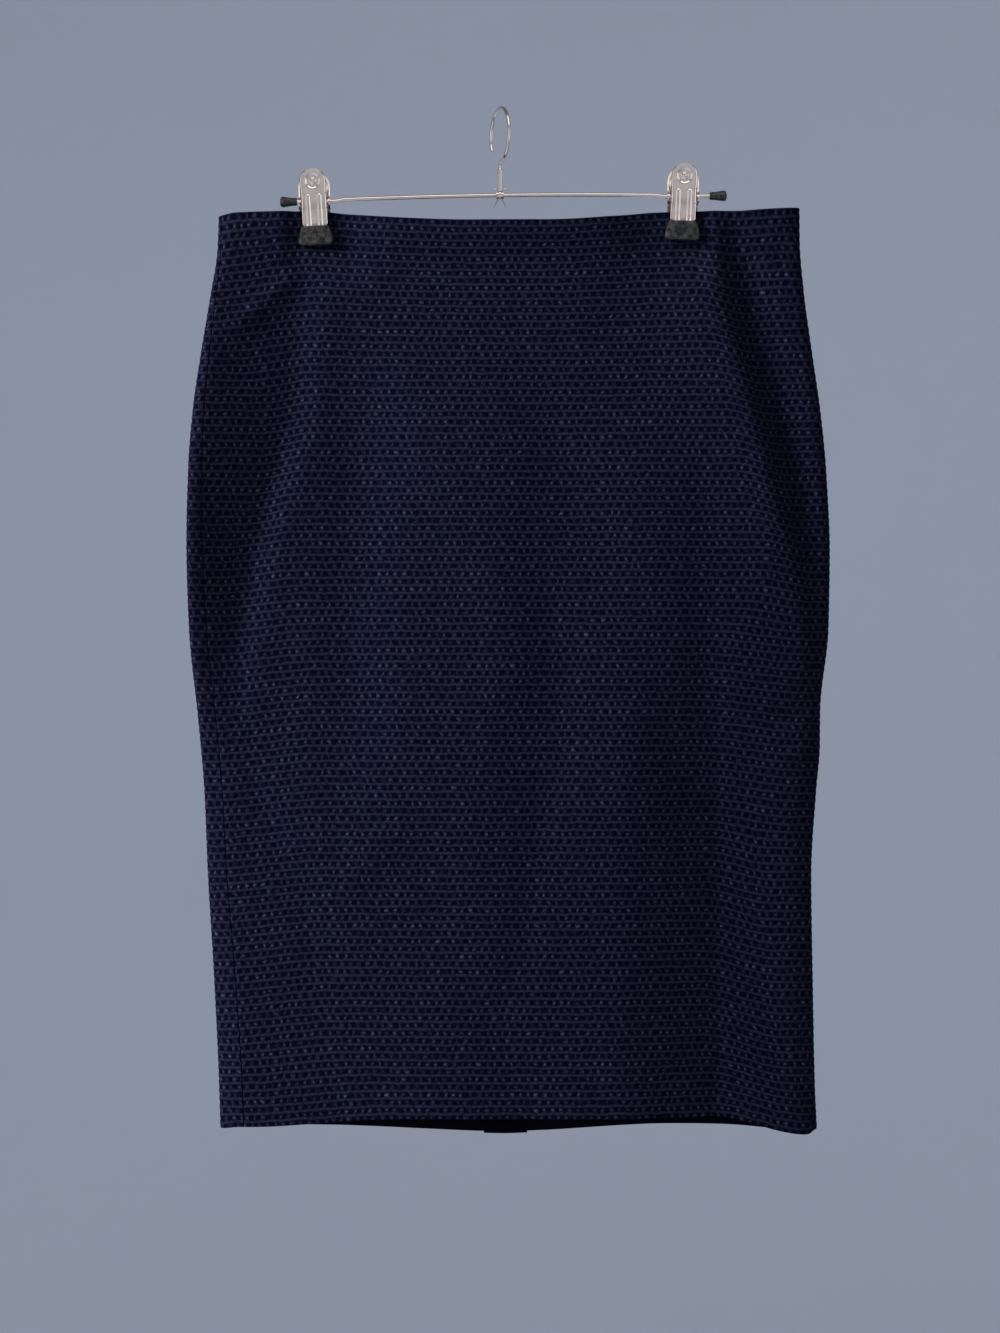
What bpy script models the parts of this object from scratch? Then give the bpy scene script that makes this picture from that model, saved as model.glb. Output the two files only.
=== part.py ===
"""Knee-length pencil skirt of jacquard knit, hanging from a chromed two-clip hanger.

X runs to the right as the front of the skirt is faced, the front looks along -Y and +Z is up.
The origin is the underside of the hook's crown, the place that rests on a rail.
Sizes are in millimetres up to the point where a mesh is made, and in metres from there on.
"""
import math

import bmesh
import bpy
import numpy as np
from mathutils import Matrix, Vector

MM = 0.001

# ---- Skirt: driving dimensions ---------------------------------------------------------------
CLOTH_WALL = 1.5          # double knit, about 380 g per square metre
SEAM_GAP = 0.3            # between the edges of two panels, and between a pad and the cloth
WAIST_Z = -70.0           # level of the waist edge, before its own waves
FRONT_LENGTH = 603.0      # waist edge to hem at the centre front
PINCHED_HALF = 1.9        # half of the two layers where a clip holds them
VENT_LENGTH = 165.0       # opening at the foot of the centre back seam
UNDERLAP_WIDTH = 23.5     # what the underlap reaches past the centre back
UNDERLAP_TURN = 6.0       # what it takes up behind the panel that it is sewn to
UNDERLAP_DIP = 1.0        # how far it shows below the hem

# Each row is a level section of the skirt, "down" millimetres below the waist edge. left and right
# are the outer faces of the side folds; front and back are how far each side bows past the folds;
# fold is the radius of the side folds; seam is how far round the side folds the side seams lie,
# because the skirt is turned a little on its clips.
SECTIONS = (
    # down, left,  right, front, back, fold, seam
    (0.0, -188.3, 201.1, 2.4, 2.5, 3.8, 3.5),
    (19.0, -188.6, 201.2, 2.8, 3.5, 3.8, 4.0),
    (46.0, -192.2, 203.6, 3.4, 5.5, 4.0, 5.5),
    (86.0, -198.1, 209.1, 4.4, 8.0, 4.2, 7.5),
    (126.0, -203.8, 215.0, 5.4, 10.5, 4.5, 9.5),
    (166.0, -207.1, 219.2, 6.6, 12.5, 4.8, 11.0),
    (220.0, -208.3, 221.6, 8.4, 14.5, 5.0, 12.5),
    (273.0, -207.0, 220.6, 10.2, 15.5, 5.0, 13.5),
    (327.0, -202.0, 215.1, 11.6, 16.0, 5.0, 14.0),
    (350.0, -199.9, 214.9, 12.4, 16.2, 5.1, 14.2),
    (380.0, -197.5, 212.4, 13.4, 16.5, 5.2, 14.5),
    (434.0, -195.2, 209.2, 14.6, 17.0, 5.4, 15.5),
    (500.0, -191.2, 210.2, 15.8, 18.0, 5.6, 17.5),
    (567.0, -187.9, 211.6, 16.8, 19.0, 5.8, 19.0),
    (603.0, -186.7, 213.1, 17.2, 20.0, 6.0, 19.5),
)
SECTION_COLUMNS = ("down", "left", "right", "front", "back", "fold", "seam")

# Past the folds that run down from the clips the left side swings forward and the right one back.
FLAPS = (
    # down, left start, left swing, right start, right swing
    (0.0, -137.0, 1.0, 133.0, -4.0),
    (46.0, -132.0, 9.0, 143.0, -5.0),
    (86.0, -134.0, 14.5, 156.0, -5.5),
    (130.0, -138.0, 17.0, 170.0, -5.0),
    (190.0, -154.0, 16.5, 180.0, -5.0),
    (235.0, -166.0, 14.0, 176.0, -5.0),
    (290.0, -173.0, 10.0, 160.0, -4.5),
    (365.0, -165.0, 6.0, 150.0, -5.0),
    (480.0, -125.0, 6.5, 142.0, -6.0),
    (603.0, -105.0, 7.0, 142.0, -7.0),
)
FLAP_COLUMNS = ("down", "left_start", "left_swing", "right_start", "right_swing")
FLAP_POWER = 1.1

# The ridge and the valley that run down and out from each clip to the hip, as X at each level.
CLIP_FOLDS = (
    # down, left ridge, left valley, right ridge, right valley
    (0.0, -108.0, -141.0, 124.0, 146.0),
    (30.0, -109.0, -140.0, 132.0, 154.0),
    (60.0, -112.0, -141.0, 143.0, 165.0),
    (130.0, -118.0, -144.0, 166.0, 188.0),
    (190.0, -134.0, -160.0, 184.0, 206.0),
    (235.0, -147.0, -172.0, 195.0, 213.0),
    (290.0, -158.0, -182.0, 203.0, 214.0),
    (365.0, -172.0, -192.0, 206.0, 213.0),
)
CLIP_FOLD_COLUMNS = ("down", "left_ridge", "left_valley", "right_ridge", "right_valley")

# How far the sides hang below the middle of the front, and between which X the front slopes down.
SIDE_SAG = (
    # down, left inner, left outer, right inner, right outer, left sag, right sag
    (0.0, -125.0, -160.0, 125.0, 160.0, 0.0, 0.0),
    (60.0, -122.0, -138.0, 128.0, 156.0, 2.0, 3.0),
    (130.0, -125.0, -155.0, 150.0, 182.0, 4.5, 4.5),
    (235.0, -150.0, -185.0, 180.0, 210.0, 5.0, 5.0),
    (365.0, -150.0, -190.0, 150.0, 205.0, 6.0, 6.0),
    (480.0, -110.0, -180.0, 142.0, 206.0, 6.2, 10.5),
    (603.0, -60.0, -175.0, 138.0, 208.0, 6.4, 13.8),
)
SIDE_SAG_COLUMNS = ("down", "left_inner", "left_outer", "right_inner", "right_outer",
                    "left_sag", "right_sag")

# Height of the waist edge above WAIST_Z: it droops between the clips and follows the tilted bar.
WAIST_EDGE = (
    # x, height
    (-188.0, -1.2),
    (-150.0, 2.0),
    (-124.0, 2.2),
    (-104.0, 0.0),
    (-64.0, -3.1),
    (-18.0, -4.8),
    (30.0, -4.8),
    (80.0, -1.7),
    (104.0, 1.0),
    (136.0, 2.2),
    (174.0, 3.4),
    (200.0, 4.8),
)
WAIST_EDGE_COLUMNS = ("x", "height")

# Large soft folds. height is out of the panel, and negative for a trough; the path is given at its
# top, middle and bottom, and left and right are how far the fold reaches on each side of it.
FOLDS = (
    # panel, top x, top down, middle x, middle down, bottom x, bottom down, left, right, height
    ("front", -128.0, 90.0, -149.0, 215.0, -178.0, 400.0, 12.0, 22.0, 0.8),
    ("front", -98.0, 70.0, -97.0, 230.0, -106.0, 430.0, 30.0, 42.0, -2.4),
    ("front", 128.0, 10.0, 165.0, 130.0, 201.0, 262.0, 30.0, 14.0, 1.4),
    ("front", 145.0, -30.0, 187.0, 130.0, 214.0, 250.0, 15.0, 24.0, -5.6),
    ("front", 28.0, 190.0, 34.0, 310.0, 32.0, 440.0, 40.0, 26.0, -1.0),
    ("front", 32.0, 370.0, 20.0, 455.0, 3.0, 550.0, 18.0, 18.0, -1.3),
    ("front", -8.0, 90.0, -2.0, 260.0, -22.0, 430.0, 120.0, 50.0, 3.2),
    ("front", -4.0, 100.0, -2.0, 260.0, -22.0, 420.0, 44.0, 44.0, 1.2),
    ("front", 88.0, 100.0, 92.0, 290.0, 82.0, 440.0, 64.0, 50.0, 2.0),
    ("front", 134.0, 110.0, 136.0, 260.0, 142.0, 420.0, 22.0, 22.0, -1.0),
    ("back", -140.0, 40.0, -160.0, 150.0, -192.0, 300.0, 14.0, 14.0, -3.0),
    ("back", 140.0, 40.0, 164.0, 160.0, 200.0, 320.0, 14.0, 14.0, -3.2),
    ("back", -60.0, 150.0, -66.0, 320.0, -80.0, 500.0, 30.0, 30.0, -2.5),
    ("back", 74.0, 120.0, 70.0, 300.0, 84.0, 470.0, 32.0, 32.0, -2.0),
)
FOLD_COLUMNS = ("panel", "top_x", "top_down", "middle_x", "middle_down", "bottom_x", "bottom_down",
                "left", "right", "height")
FOLD_FADE = 0.3                 # how far a fold runs on past its ends, as a share of its third
FOLD_CORE = 0.6                 # share of a fold's width that holds most of its height

# Across the skirt each side is domed; near the top it is a flat shelf between the clip folds.
DOME_POWER = 2.6
SHELF_SHARE = 0.8
SHELF_FADE_START = 150.0
SHELF_FADE_END = 360.0

# The long crease low on the right: the front falls back towards it, then swings forward past it.
RIGHT_CREASE_X = 147.0
RIGHT_CREASE_START = 80.0
RIGHT_CREASE_END = 215.0
RIGHT_CREASE_LIP = 4.0
RIGHT_CREASE_STEP = 0.12        # share of its depth that comes back straight past the crease
RIGHT_CREASE_POWER = 1.25
RIGHT_CREASE_DEPTH = (
    # down, depth
    (150.0, 0.0),
    (250.0, 1.2),
    (330.0, 3.6),
    (400.0, 8.4),
    (500.0, 11.5),
    (603.0, 12.5),
)
RIGHT_CREASE_COLUMNS = ("down", "depth")

# The turned waist edge leans forward between the clips, down to where its turning ends.
WAIST_LEAN = 4.0
WAIST_LEAN_X = 18.0
WAIST_LEAN_HALF = 70.0
WAIST_LEAN_ENDS = 0.35          # share of the lean that is left towards the clips
WAIST_TURNING = 32.0

# Where the clips hold the cloth, and how far the pinch reaches on either side of each pad.
PINCH_FLAT_HALF = 20.0
PINCH_FADE_INNER = 56.0
PINCH_FADE_OUTER = 32.0
PINCH_FLAT_DOWN = 28.0
PINCH_FADE_DOWN = 64.0

BACK_BELLY = (
    # x, extra drop of the back hem
    (-190.0, 0.0),
    (-105.0, 2.2),
    (-70.0, 3.4),
    (-45.0, 4.3),
    (-20.0, 5.0),
    (0.0, 5.3),
    (30.0, 3.8),
    (55.0, 1.7),
    (80.0, -0.5),
    (110.0, -2.6),
    (150.0, -3.7),
    (206.0, 0.0),
)
BACK_BELLY_COLUMNS = ("x", "drop")
BACK_LEFT_X = -190.0            # the sag of the back's sides runs between these
BACK_RIGHT_X = 206.0
CENTRE_BACK_TOP_X = 3.0
CENTRE_BACK_HEM_X = -5.0

ROWS = 28                       # levels in the meshes of the panels
ROW_SPREAD = 1.15               # above 1 the rows crowd towards the waist
LOOP_STEPS = 260                # fine steps along each side of a section
FRONT_COLUMNS = 32
BACK_COLUMNS = 16
SIDE_FOLD_COLUMNS = 5           # columns round a side fold
SEAM_COLUMNS = 2                # columns from a side fold to its seam
FOLD_REACH = 6.5                # arc length taken as the side fold, each side of its crest
SEAM_REACH = 0.6                # at most this share of the way from the crest to the side seam
SIDE_CROWDING = 0.45            # how much closer the columns lie near the sides
UNDERLAP_COLUMNS = 5
UNDERLAP_ROWS = 8

# ---- Hanger: driving dimensions --------------------------------------------------------------
BAR_RADIUS = 1.5
BAR_ENDS_Z = -59.0              # midway between the two ends that carry the clips
BAR_TILT = math.radians(0.8)    # the hanger hangs a little higher on the right
BAR_MIDDLE_HALF = 104.0         # middle stretch, from the hook to the steps
BAR_MIDDLE_BOW = 1.4            # the middle stretch is pulled up by the hook
BAR_STEP_RUN = 6.0
BAR_STEP_DROP = 1.0             # the ends lie this much lower than the middle stretch
BAR_LEFT_END = -145.0
BAR_RIGHT_END = 149.5
BAR_CLEARANCE = 0.3
BAR_ROUNDING = 3                # bevel level of the bar's curve
BAR_STEP_POINTS = 4
BAR_MIDDLE_SPANS = 8

CAP_LENGTH = 11.5
CAP_WIDTHS = (
    # share of the length from the open end, radius
    (0.0, 2.35),
    (0.3, 2.45),
    (0.6, 2.9),
    (0.8, 3.2),
    (0.93, 2.9),
    (1.0, 1.7),
)
CAP_OVER_BAR = 9.0
CAP_SIDES = 14

HOOK_WIRE_RADIUS = 1.15
HOOK_INNER_RADIUS = 17.0
HOOK_TURN = math.radians(-70.5)         # the hook's plane runs front to back, 19.5 degrees off
HOOK_STEM_RADIUS = 1.45
HOOK_STEM_TOP = -39.2
HOOK_STEM_TAPER = 0.6
HOOK_BEND = 1.9                         # run of the small bend above the stem, each way
HOOK_BEND_SPANS = 4
HOOK_ARC_START = math.radians(-68.0)    # where the slanting wire runs into the round of the hook
HOOK_ARC_END = math.radians(205.0)
HOOK_ARC_SPANS = 21
HOOK_ROUNDING = 2
SADDLE_RADIUS = 2.7
SADDLE_LENGTH = 5.0
SADDLE_SIDES = 16
SADDLE_EAR_WIDTH = 2.4
SADDLE_EAR_LIFT = 0.35          # the ears are rooted this far outside the bore
SADDLE_EARS = (
    # lean from straight up in degrees, length, thickness at the root, thickness at the tip
    (-38.0, 3.4, 1.3, 0.8),
    (38.0, 3.4, 1.3, 0.8),
    (152.0, 7.2, 1.3, 0.8),
    (-152.0, 7.2, 1.3, 0.8),
)

CLIPS = (
    # name, x of the clip on the bar, lean in degrees (positive: foot to the right)
    ("left", -124.4, 3.2),
    ("right", 122.8, -2.1),
)
PLATE_THICKNESS = 0.8
FRONT_PLATE_HALF = 8.7
REAR_PLATE_HALF = 10.5
JAW_HALF = 7.5                  # the foot of each plate, inside its rubber pad
PLATE_TOP = 21.2                # above the bar
PLATE_FOOT = -24.0
PLATE_NECK = -15.8              # below it a plate is as narrow as its jaw
PLATE_CORNER = 0.55
PLATE_INNER_CORNER = 0.2
# Each row: height above the bar, how far the outer face stands off the bar, depth of the bent edge.
PLATE_PROFILE = (
    (PLATE_FOOT, 5.2, 1.2),
    (-16.1, 5.3, 1.2),
    (-15.4, 5.5, 1.5),
    (-8.0, 6.5, 1.8),
    (-5.0, 6.9, 2.0),
    (-3.8, 7.0, 6.6),
    (-2.2, 7.1, 9.8),
    (0.0, 7.3, 10.7),
    (2.2, 7.6, 10.3),
    (3.8, 7.9, 7.5),
    (5.0, 8.1, 2.2),
    (8.0, 8.7, 1.6),
)
PLATE_TOP_STAND = 11.2          # stand-off of the outer face at the very top
PLATE_TOP_EDGE = 1.5            # depth of the bent edge round the top
PLATE_TOP_ANGLES = (0.0, 24.0, 44.0, 60.0, 71.0, 76.0)
PLATE_HOLE_SIDES = 12
PLATE_HOLE_LENGTH = 30.0

PAD_TOP = -16.5
PAD_FOOT = -29.6
PAD_TOP_HALF = 9.7
PAD_FOOT_HALF = 11.4
PAD_CORNER = 2.6
PAD_TOP_CORNER = 1.0
PAD_THICKNESS = 5.2
PAD_CLEARANCE = 0.3
PAD_SLOT_RISE = 3.0             # the cutter of the slot stands this far above the pad
PAD_LAYERS = (
    # distance from the cloth's side of the pad, how far the outline has shrunk
    (0.0, 0.35),
    (0.5, 0.0),
    (4.3, 0.0),
    (4.95, 0.45),
    (PAD_THICKNESS, 1.1),
)

SPRING_RADIUS = 3.1
SPRING_WIRE_RADIUS = 0.55
SPRING_TURNS = 3.5
SPRING_HALF_LENGTH = 4.2
SPRING_LEG_HEIGHT = 13.0
SPRING_LEG_GAP = 0.4            # between a leg and the inside of its plate
SPRING_LEG_BEND = 1.0           # how far outside the coil a leg turns up
SPRING_STEPS_A_TURN = 10

# ---- Colours and finishes --------------------------------------------------------------------
NAVY_KNIT = (0.010, 0.012, 0.030, 1.0)
CHROMED_STEEL = (0.78, 0.75, 0.72, 1.0)
BLACK_RUBBER = (0.030, 0.029, 0.028, 1.0)


def clear_scene():
    """Remove whatever the scene holds at the start."""
    for thing in list(bpy.data.objects):
        bpy.data.objects.remove(thing, do_unlink=True)


def make_material(name, colour, roughness, metallic):
    """One Principled material for one sub-part."""
    material = bpy.data.materials.new(name)
    material.use_nodes = True
    shader = material.node_tree.nodes["Principled BSDF"]
    shader.inputs["Base Color"].default_value = colour
    shader.inputs["Roughness"].default_value = roughness
    shader.inputs["Metallic"].default_value = metallic
    return material


def add_object(name, mesh, colour, roughness, metallic):
    """Put a mesh in the scene under its node name, with its own material."""
    mesh.materials.append(make_material(name + "_finish", colour, roughness, metallic))
    thing = bpy.data.objects.new(name, mesh)
    bpy.context.collection.objects.link(thing)
    return thing


def shade_round(thing):
    """Shade a round metal or rubber piece smooth, keeping its sharp edges."""
    thing.data.shade_smooth()
    thing.data.set_sharp_from_angle(angle=math.radians(35.0))
    return thing


# ---- Smooth tables ---------------------------------------------------------------------------

def column(table, names, wanted):
    """One named column of a table, as an array."""
    return np.array([row[names.index(wanted)] for row in table], dtype=float)


def smooth_curve(at, known_at, known):
    """A smooth curve through a few known values (cubic Hermite with limited slopes)."""
    gaps = np.diff(known_at)
    rises = np.diff(known) / gaps
    slopes = np.zeros(len(known))
    slopes[1:-1] = np.where(rises[:-1] * rises[1:] > 0.0,
                            2.0 * rises[:-1] * rises[1:] / (rises[:-1] + rises[1:] + 1e-12), 0.0)
    slopes[0] = rises[0]
    slopes[-1] = rises[-1]
    at = np.clip(at, known_at[0], known_at[-1])
    span = np.clip(np.searchsorted(known_at, at, side="right") - 1, 0, len(gaps) - 1)
    share = (at - known_at[span]) / gaps[span]
    rest = 1.0 - share
    return (known[span] * (1.0 + 2.0 * share) * rest ** 2
            + known[span + 1] * (3.0 - 2.0 * share) * share ** 2
            + slopes[span] * gaps[span] * share * rest ** 2
            - slopes[span + 1] * gaps[span] * share ** 2 * rest)


def from_table(table, names, wanted, at):
    """A named column read smoothly at any place along the table's first column."""
    return smooth_curve(np.asarray(at, dtype=float), column(table, names, names[0]),
                        column(table, names, wanted))


def soft_step(value, start, end):
    """0 before start, 1 after end, with a soft slope between; start may be above end."""
    share = np.clip((value - start) / (end - start), 0.0, 1.0)
    return share * share * (3.0 - 2.0 * share)


# ---- Skirt: the shape of the cloth -----------------------------------------------------------

def pinch(x, down):
    """1 where a clip holds the cloth flat, falling to 0 round it."""
    held = np.zeros_like(x)
    for _, clip_x, lean in CLIPS:
        pad_x = clip_x + math.tan(math.radians(lean)) * abs(PAD_FOOT)
        aside = (x - pad_x) * math.copysign(1.0, pad_x)
        fade = np.where(aside > 0.0, PINCH_FADE_OUTER, PINCH_FADE_INNER)
        across = 1.0 - soft_step(np.abs(aside), PINCH_FLAT_HALF, fade)
        along = 1.0 - soft_step(down, PINCH_FLAT_DOWN, PINCH_FADE_DOWN)
        held = np.maximum(held, across * along)
    return held


def soft_folds(panel, x, down):
    """The large soft folds of one panel, as a height out of the panel."""
    height = np.zeros_like(x)
    for fold in FOLDS:
        row = dict(zip(FOLD_COLUMNS, fold))
        if row["panel"] != panel:
            continue
        stops = np.array([row["top_down"], row["middle_down"], row["bottom_down"]])
        places = np.array([row["top_x"], row["middle_x"], row["bottom_x"]])
        crest = smooth_curve(np.asarray(down, dtype=float), stops, places)
        third = (stops[2] - stops[0]) / 3.0
        strength = (soft_step(down, stops[0] - FOLD_FADE * third, stops[0] + third)
                    * (1.0 - soft_step(down, stops[2] - third, stops[2] + FOLD_FADE * third)))
        core = FOLD_CORE * np.where(x < crest, row["left"], row["right"])
        height += row["height"] * strength * np.exp(-((x - crest) / core) ** 2)
    return height


def bow(panel, x, down, section):
    """How far one side of the skirt stands off its middle surface."""
    left, right = section["left"], section["right"]
    fold = section["fold"]
    from_end = np.minimum(x - left, right - x)
    inward = 1.0 - np.clip(from_end / fold, 0.0, 1.0)
    rounding = fold * np.sqrt(np.clip(1.0 - inward ** 2, 0.0, 1.0))
    across = np.clip((2.0 * x - left - right) / (right - left), -1.0, 1.0)
    dome = 1.0 - np.abs(across) ** DOME_POWER
    folds = {name: from_table(CLIP_FOLDS, CLIP_FOLD_COLUMNS, name, down)
             for name in CLIP_FOLD_COLUMNS[1:]}
    shelf = (soft_step(x, folds["left_valley"], folds["left_ridge"])
             * (1.0 - soft_step(x, folds["right_ridge"], folds["right_valley"])))
    shelf_share = SHELF_SHARE * (1.0 - soft_step(down, SHELF_FADE_START, SHELF_FADE_END))
    body = shelf_share * shelf + (1.0 - shelf_share) * dome
    near_end = soft_step(from_end, 0.0, 3.0 * fold)
    height = rounding + section[panel] * body * near_end + soft_folds(panel, x, down) * near_end
    if panel == "front":
        depth = from_table(RIGHT_CREASE_DEPTH, RIGHT_CREASE_COLUMNS, "depth", down)
        run = RIGHT_CREASE_X - RIGHT_CREASE_START
        fall = np.clip((x - RIGHT_CREASE_START) / run, 0.0, 1.0) ** RIGHT_CREASE_POWER
        step = soft_step(x, RIGHT_CREASE_X - RIGHT_CREASE_LIP, RIGHT_CREASE_X + RIGHT_CREASE_LIP)
        back_out = soft_step(x, RIGHT_CREASE_X, RIGHT_CREASE_END)
        rise = 1.0 - RIGHT_CREASE_STEP * step - (1.0 - RIGHT_CREASE_STEP) * back_out
        height -= depth * np.where(x < RIGHT_CREASE_X, fall, rise)
        lean = WAIST_LEAN_ENDS + (1.0 - WAIST_LEAN_ENDS) * np.exp(
            -((x - WAIST_LEAN_X) / WAIST_LEAN_HALF) ** 2)
        height += WAIST_LEAN * lean * (1.0 - soft_step(down, 0.0, WAIST_TURNING)) * near_end
    held = pinch(x, down) * soft_step(from_end, 0.0, 2.0 * fold)
    return height * (1.0 - held) + PINCHED_HALF * held


def middle_surface(x, down, section):
    """Depth of the surface midway between front and back, with its two sides swung."""
    flap = {name: float(from_table(FLAPS, FLAP_COLUMNS, name, down)) for name in FLAP_COLUMNS[1:]}
    left = np.clip((flap["left_start"] - x) / (flap["left_start"] - section["left"]), 0.0, 1.0)
    right = np.clip((x - flap["right_start"]) / (section["right"] - flap["right_start"]), 0.0, 1.0)
    return -flap["left_swing"] * left ** FLAP_POWER - flap["right_swing"] * right ** FLAP_POWER


def level(panel, x, down):
    """Height of a point of the cloth that lies "down" below the waist edge."""
    sag = {name: from_table(SIDE_SAG, SIDE_SAG_COLUMNS, name, down) for name in SIDE_SAG_COLUMNS[1:]}
    left_share = soft_step(x, sag["left_inner"], sag["left_outer"])
    right_share = soft_step(x, sag["right_inner"], sag["right_outer"])
    share = down / FRONT_LENGTH
    edge = from_table(WAIST_EDGE, WAIST_EDGE_COLUMNS, "height", x) * (1.0 - share)
    if panel == "front":
        drop = sag["left_sag"] * left_share + sag["right_sag"] * right_share
    else:
        across = np.clip((x - BACK_LEFT_X) / (BACK_RIGHT_X - BACK_LEFT_X), 0.0, 1.0)
        drop = (sag["left_sag"] * (1.0 - across) + sag["right_sag"] * across
                + share * from_table(BACK_BELLY, BACK_BELLY_COLUMNS, "drop", x))
    return WAIST_Z - down + edge - drop


def section_loop(down):
    """The outer face of the skirt at one level, once round from the left side fold.

    Gives the arc length, the outer points and the points on the inner face beneath them.
    """
    section = {name: float(from_table(SECTIONS, SECTION_COLUMNS, name, down))
               for name in SECTION_COLUMNS[1:]}
    turn = np.linspace(0.0, math.pi, LOOP_STEPS + 1)
    x = section["left"] + (section["right"] - section["left"]) * (1.0 - np.cos(turn)) / 2.0
    middle = middle_surface(x, down, section)
    front_y = middle - bow("front", x, down, section)
    back_y = middle + bow("back", x, down, section)
    xs = np.concatenate((x, x[-2:0:-1]))
    ys = np.concatenate((front_y, back_y[-2:0:-1]))
    zs = np.concatenate((level("front", x, down), level("back", x, down)[-2:0:-1]))
    ahead_x, ahead_y = np.roll(xs, -2) - np.roll(xs, 2), np.roll(ys, -2) - np.roll(ys, 2)
    length = np.hypot(ahead_x, ahead_y)
    outward_x, outward_y = ahead_y / length, -ahead_x / length
    xs, ys, zs = np.append(xs, xs[0]), np.append(ys, ys[0]), np.append(zs, zs[0])
    outward_x, outward_y = np.append(outward_x, outward_x[0]), np.append(outward_y, outward_y[0])
    arc = np.concatenate(([0.0], np.cumsum(np.hypot(np.diff(xs), np.diff(ys)))))
    return {"down": down, "section": section, "arc": arc, "x": xs, "y": ys,
            "z": zs, "out_x": outward_x, "out_y": outward_y, "right_crest": arc[LOOP_STEPS]}


def on_loop(loop, arc, inward):
    """Points at the given arc lengths, moved in from the outer face."""
    whole = loop["arc"][-1]
    arc = np.mod(arc, whole)
    x, y, z, out_x, out_y = (np.interp(arc, loop["arc"], loop[name])
                             for name in ("x", "y", "z", "out_x", "out_y"))
    size = np.hypot(out_x, out_y)
    return np.column_stack((x - inward * out_x / size, y - inward * out_y / size, z))


def centre_back_arc(loop):
    """Arc length of the centre back at one level."""
    share = loop["down"] / FRONT_LENGTH
    wanted = CENTRE_BACK_TOP_X * (1.0 - share) + CENTRE_BACK_HEM_X * share
    back = loop["arc"] >= loop["right_crest"]
    return float(np.interp(-wanted, -loop["x"][back], loop["arc"][back]))


def crowd_sides(count):
    """Shares from 0 to 1 that lie closer together at both ends."""
    even = np.linspace(0.0, 1.0, count + 1)
    return even - SIDE_CROWDING * np.sin(2.0 * math.pi * even) / (2.0 * math.pi)


def crowd_start(count):
    """Shares from 0 to 1 that lie closer together at the start."""
    even = np.linspace(0.0, 1.0, count + 1)
    return even - SIDE_CROWDING * np.sin(math.pi * even) / math.pi


def front_stations(loop):
    """Arc lengths across the front panel, from the left side seam round to the right one."""
    seam = loop["section"]["seam"]
    half_gap = SEAM_GAP / 2.0
    crest = loop["right_crest"]
    start, end = seam + half_gap, crest + seam - half_gap
    fold_start, fold_end = crest - FOLD_REACH, crest + min(FOLD_REACH, SEAM_REACH * seam)
    return np.concatenate((
        start + (fold_start - start) * crowd_sides(FRONT_COLUMNS)[:-1],
        np.linspace(fold_start, fold_end, SIDE_FOLD_COLUMNS + 1)[:-1],
        np.linspace(fold_end, end, SEAM_COLUMNS + 1)))


def back_right_stations(loop):
    """Arc lengths across the back panel on the right, from its side seam to the centre back."""
    half_gap = SEAM_GAP / 2.0
    start = loop["right_crest"] + loop["section"]["seam"] + half_gap
    end = centre_back_arc(loop) - half_gap
    return start + (end - start) * crowd_start(BACK_COLUMNS)


def back_left_stations(loop):
    """Arc lengths across the back panel on the left, from the centre back to its side seam."""
    half_gap = SEAM_GAP / 2.0
    seam = loop["section"]["seam"]
    whole = loop["arc"][-1]
    start = centre_back_arc(loop) + half_gap
    fold_start, fold_end = whole - FOLD_REACH, whole + min(FOLD_REACH, SEAM_REACH * seam)
    crowded = 1.0 - crowd_start(BACK_COLUMNS)[::-1]
    return np.concatenate((
        start + (fold_start - start) * crowded[:-1],
        np.linspace(fold_start, fold_end, SIDE_FOLD_COLUMNS + 1)[:-1],
        np.linspace(fold_end, whole + seam - half_gap, SEAM_COLUMNS + 1)))


def wall_mesh(name, outer, inner):
    """A closed wall between two grids of points, given as rows from the top down."""
    rows, columns = outer.shape[:2]
    mesh = bpy.data.meshes.new(name)
    shaper = bmesh.new()
    grids = [[[shaper.verts.new(Vector(point) * MM) for point in row] for row in grid]
             for grid in (outer, inner)]
    out, back = grids
    for i in range(rows - 1):
        for j in range(columns - 1):
            shaper.faces.new((out[i][j], out[i + 1][j], out[i + 1][j + 1], out[i][j + 1]))
            shaper.faces.new((back[i][j], back[i][j + 1], back[i + 1][j + 1], back[i + 1][j]))
    for j in range(columns - 1):
        shaper.faces.new((out[0][j], out[0][j + 1], back[0][j + 1], back[0][j]))
        shaper.faces.new((out[-1][j], back[-1][j], back[-1][j + 1], out[-1][j + 1]))
    for i in range(rows - 1):
        shaper.faces.new((out[i][0], back[i][0], back[i + 1][0], out[i + 1][0]))
        shaper.faces.new((out[i][-1], out[i + 1][-1], back[i + 1][-1], back[i][-1]))
    bmesh.ops.triangulate(shaper, faces=shaper.faces)
    bmesh.ops.recalc_face_normals(shaper, faces=shaper.faces)
    shaper.to_mesh(mesh)
    shaper.free()
    mesh.shade_smooth()
    mesh.set_sharp_from_angle(angle=math.radians(50.0))
    return mesh


def panel_rows():
    """Distances below the waist edge of the rows of a panel."""
    return FRONT_LENGTH * (np.arange(ROWS + 1) / ROWS) ** ROW_SPREAD


def build_panel(name, stations):
    """One panel of the skirt, as a wall of the cloth's thickness."""
    outer, inner = [], []
    for down in panel_rows():
        loop = section_loop(down)
        places = stations(loop)
        outer.append(on_loop(loop, places, 0.0))
        inner.append(on_loop(loop, places, CLOTH_WALL))
    return add_object(name, wall_mesh(name, np.array(outer), np.array(inner)), NAVY_KNIT, 0.9, 0.0)


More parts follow.
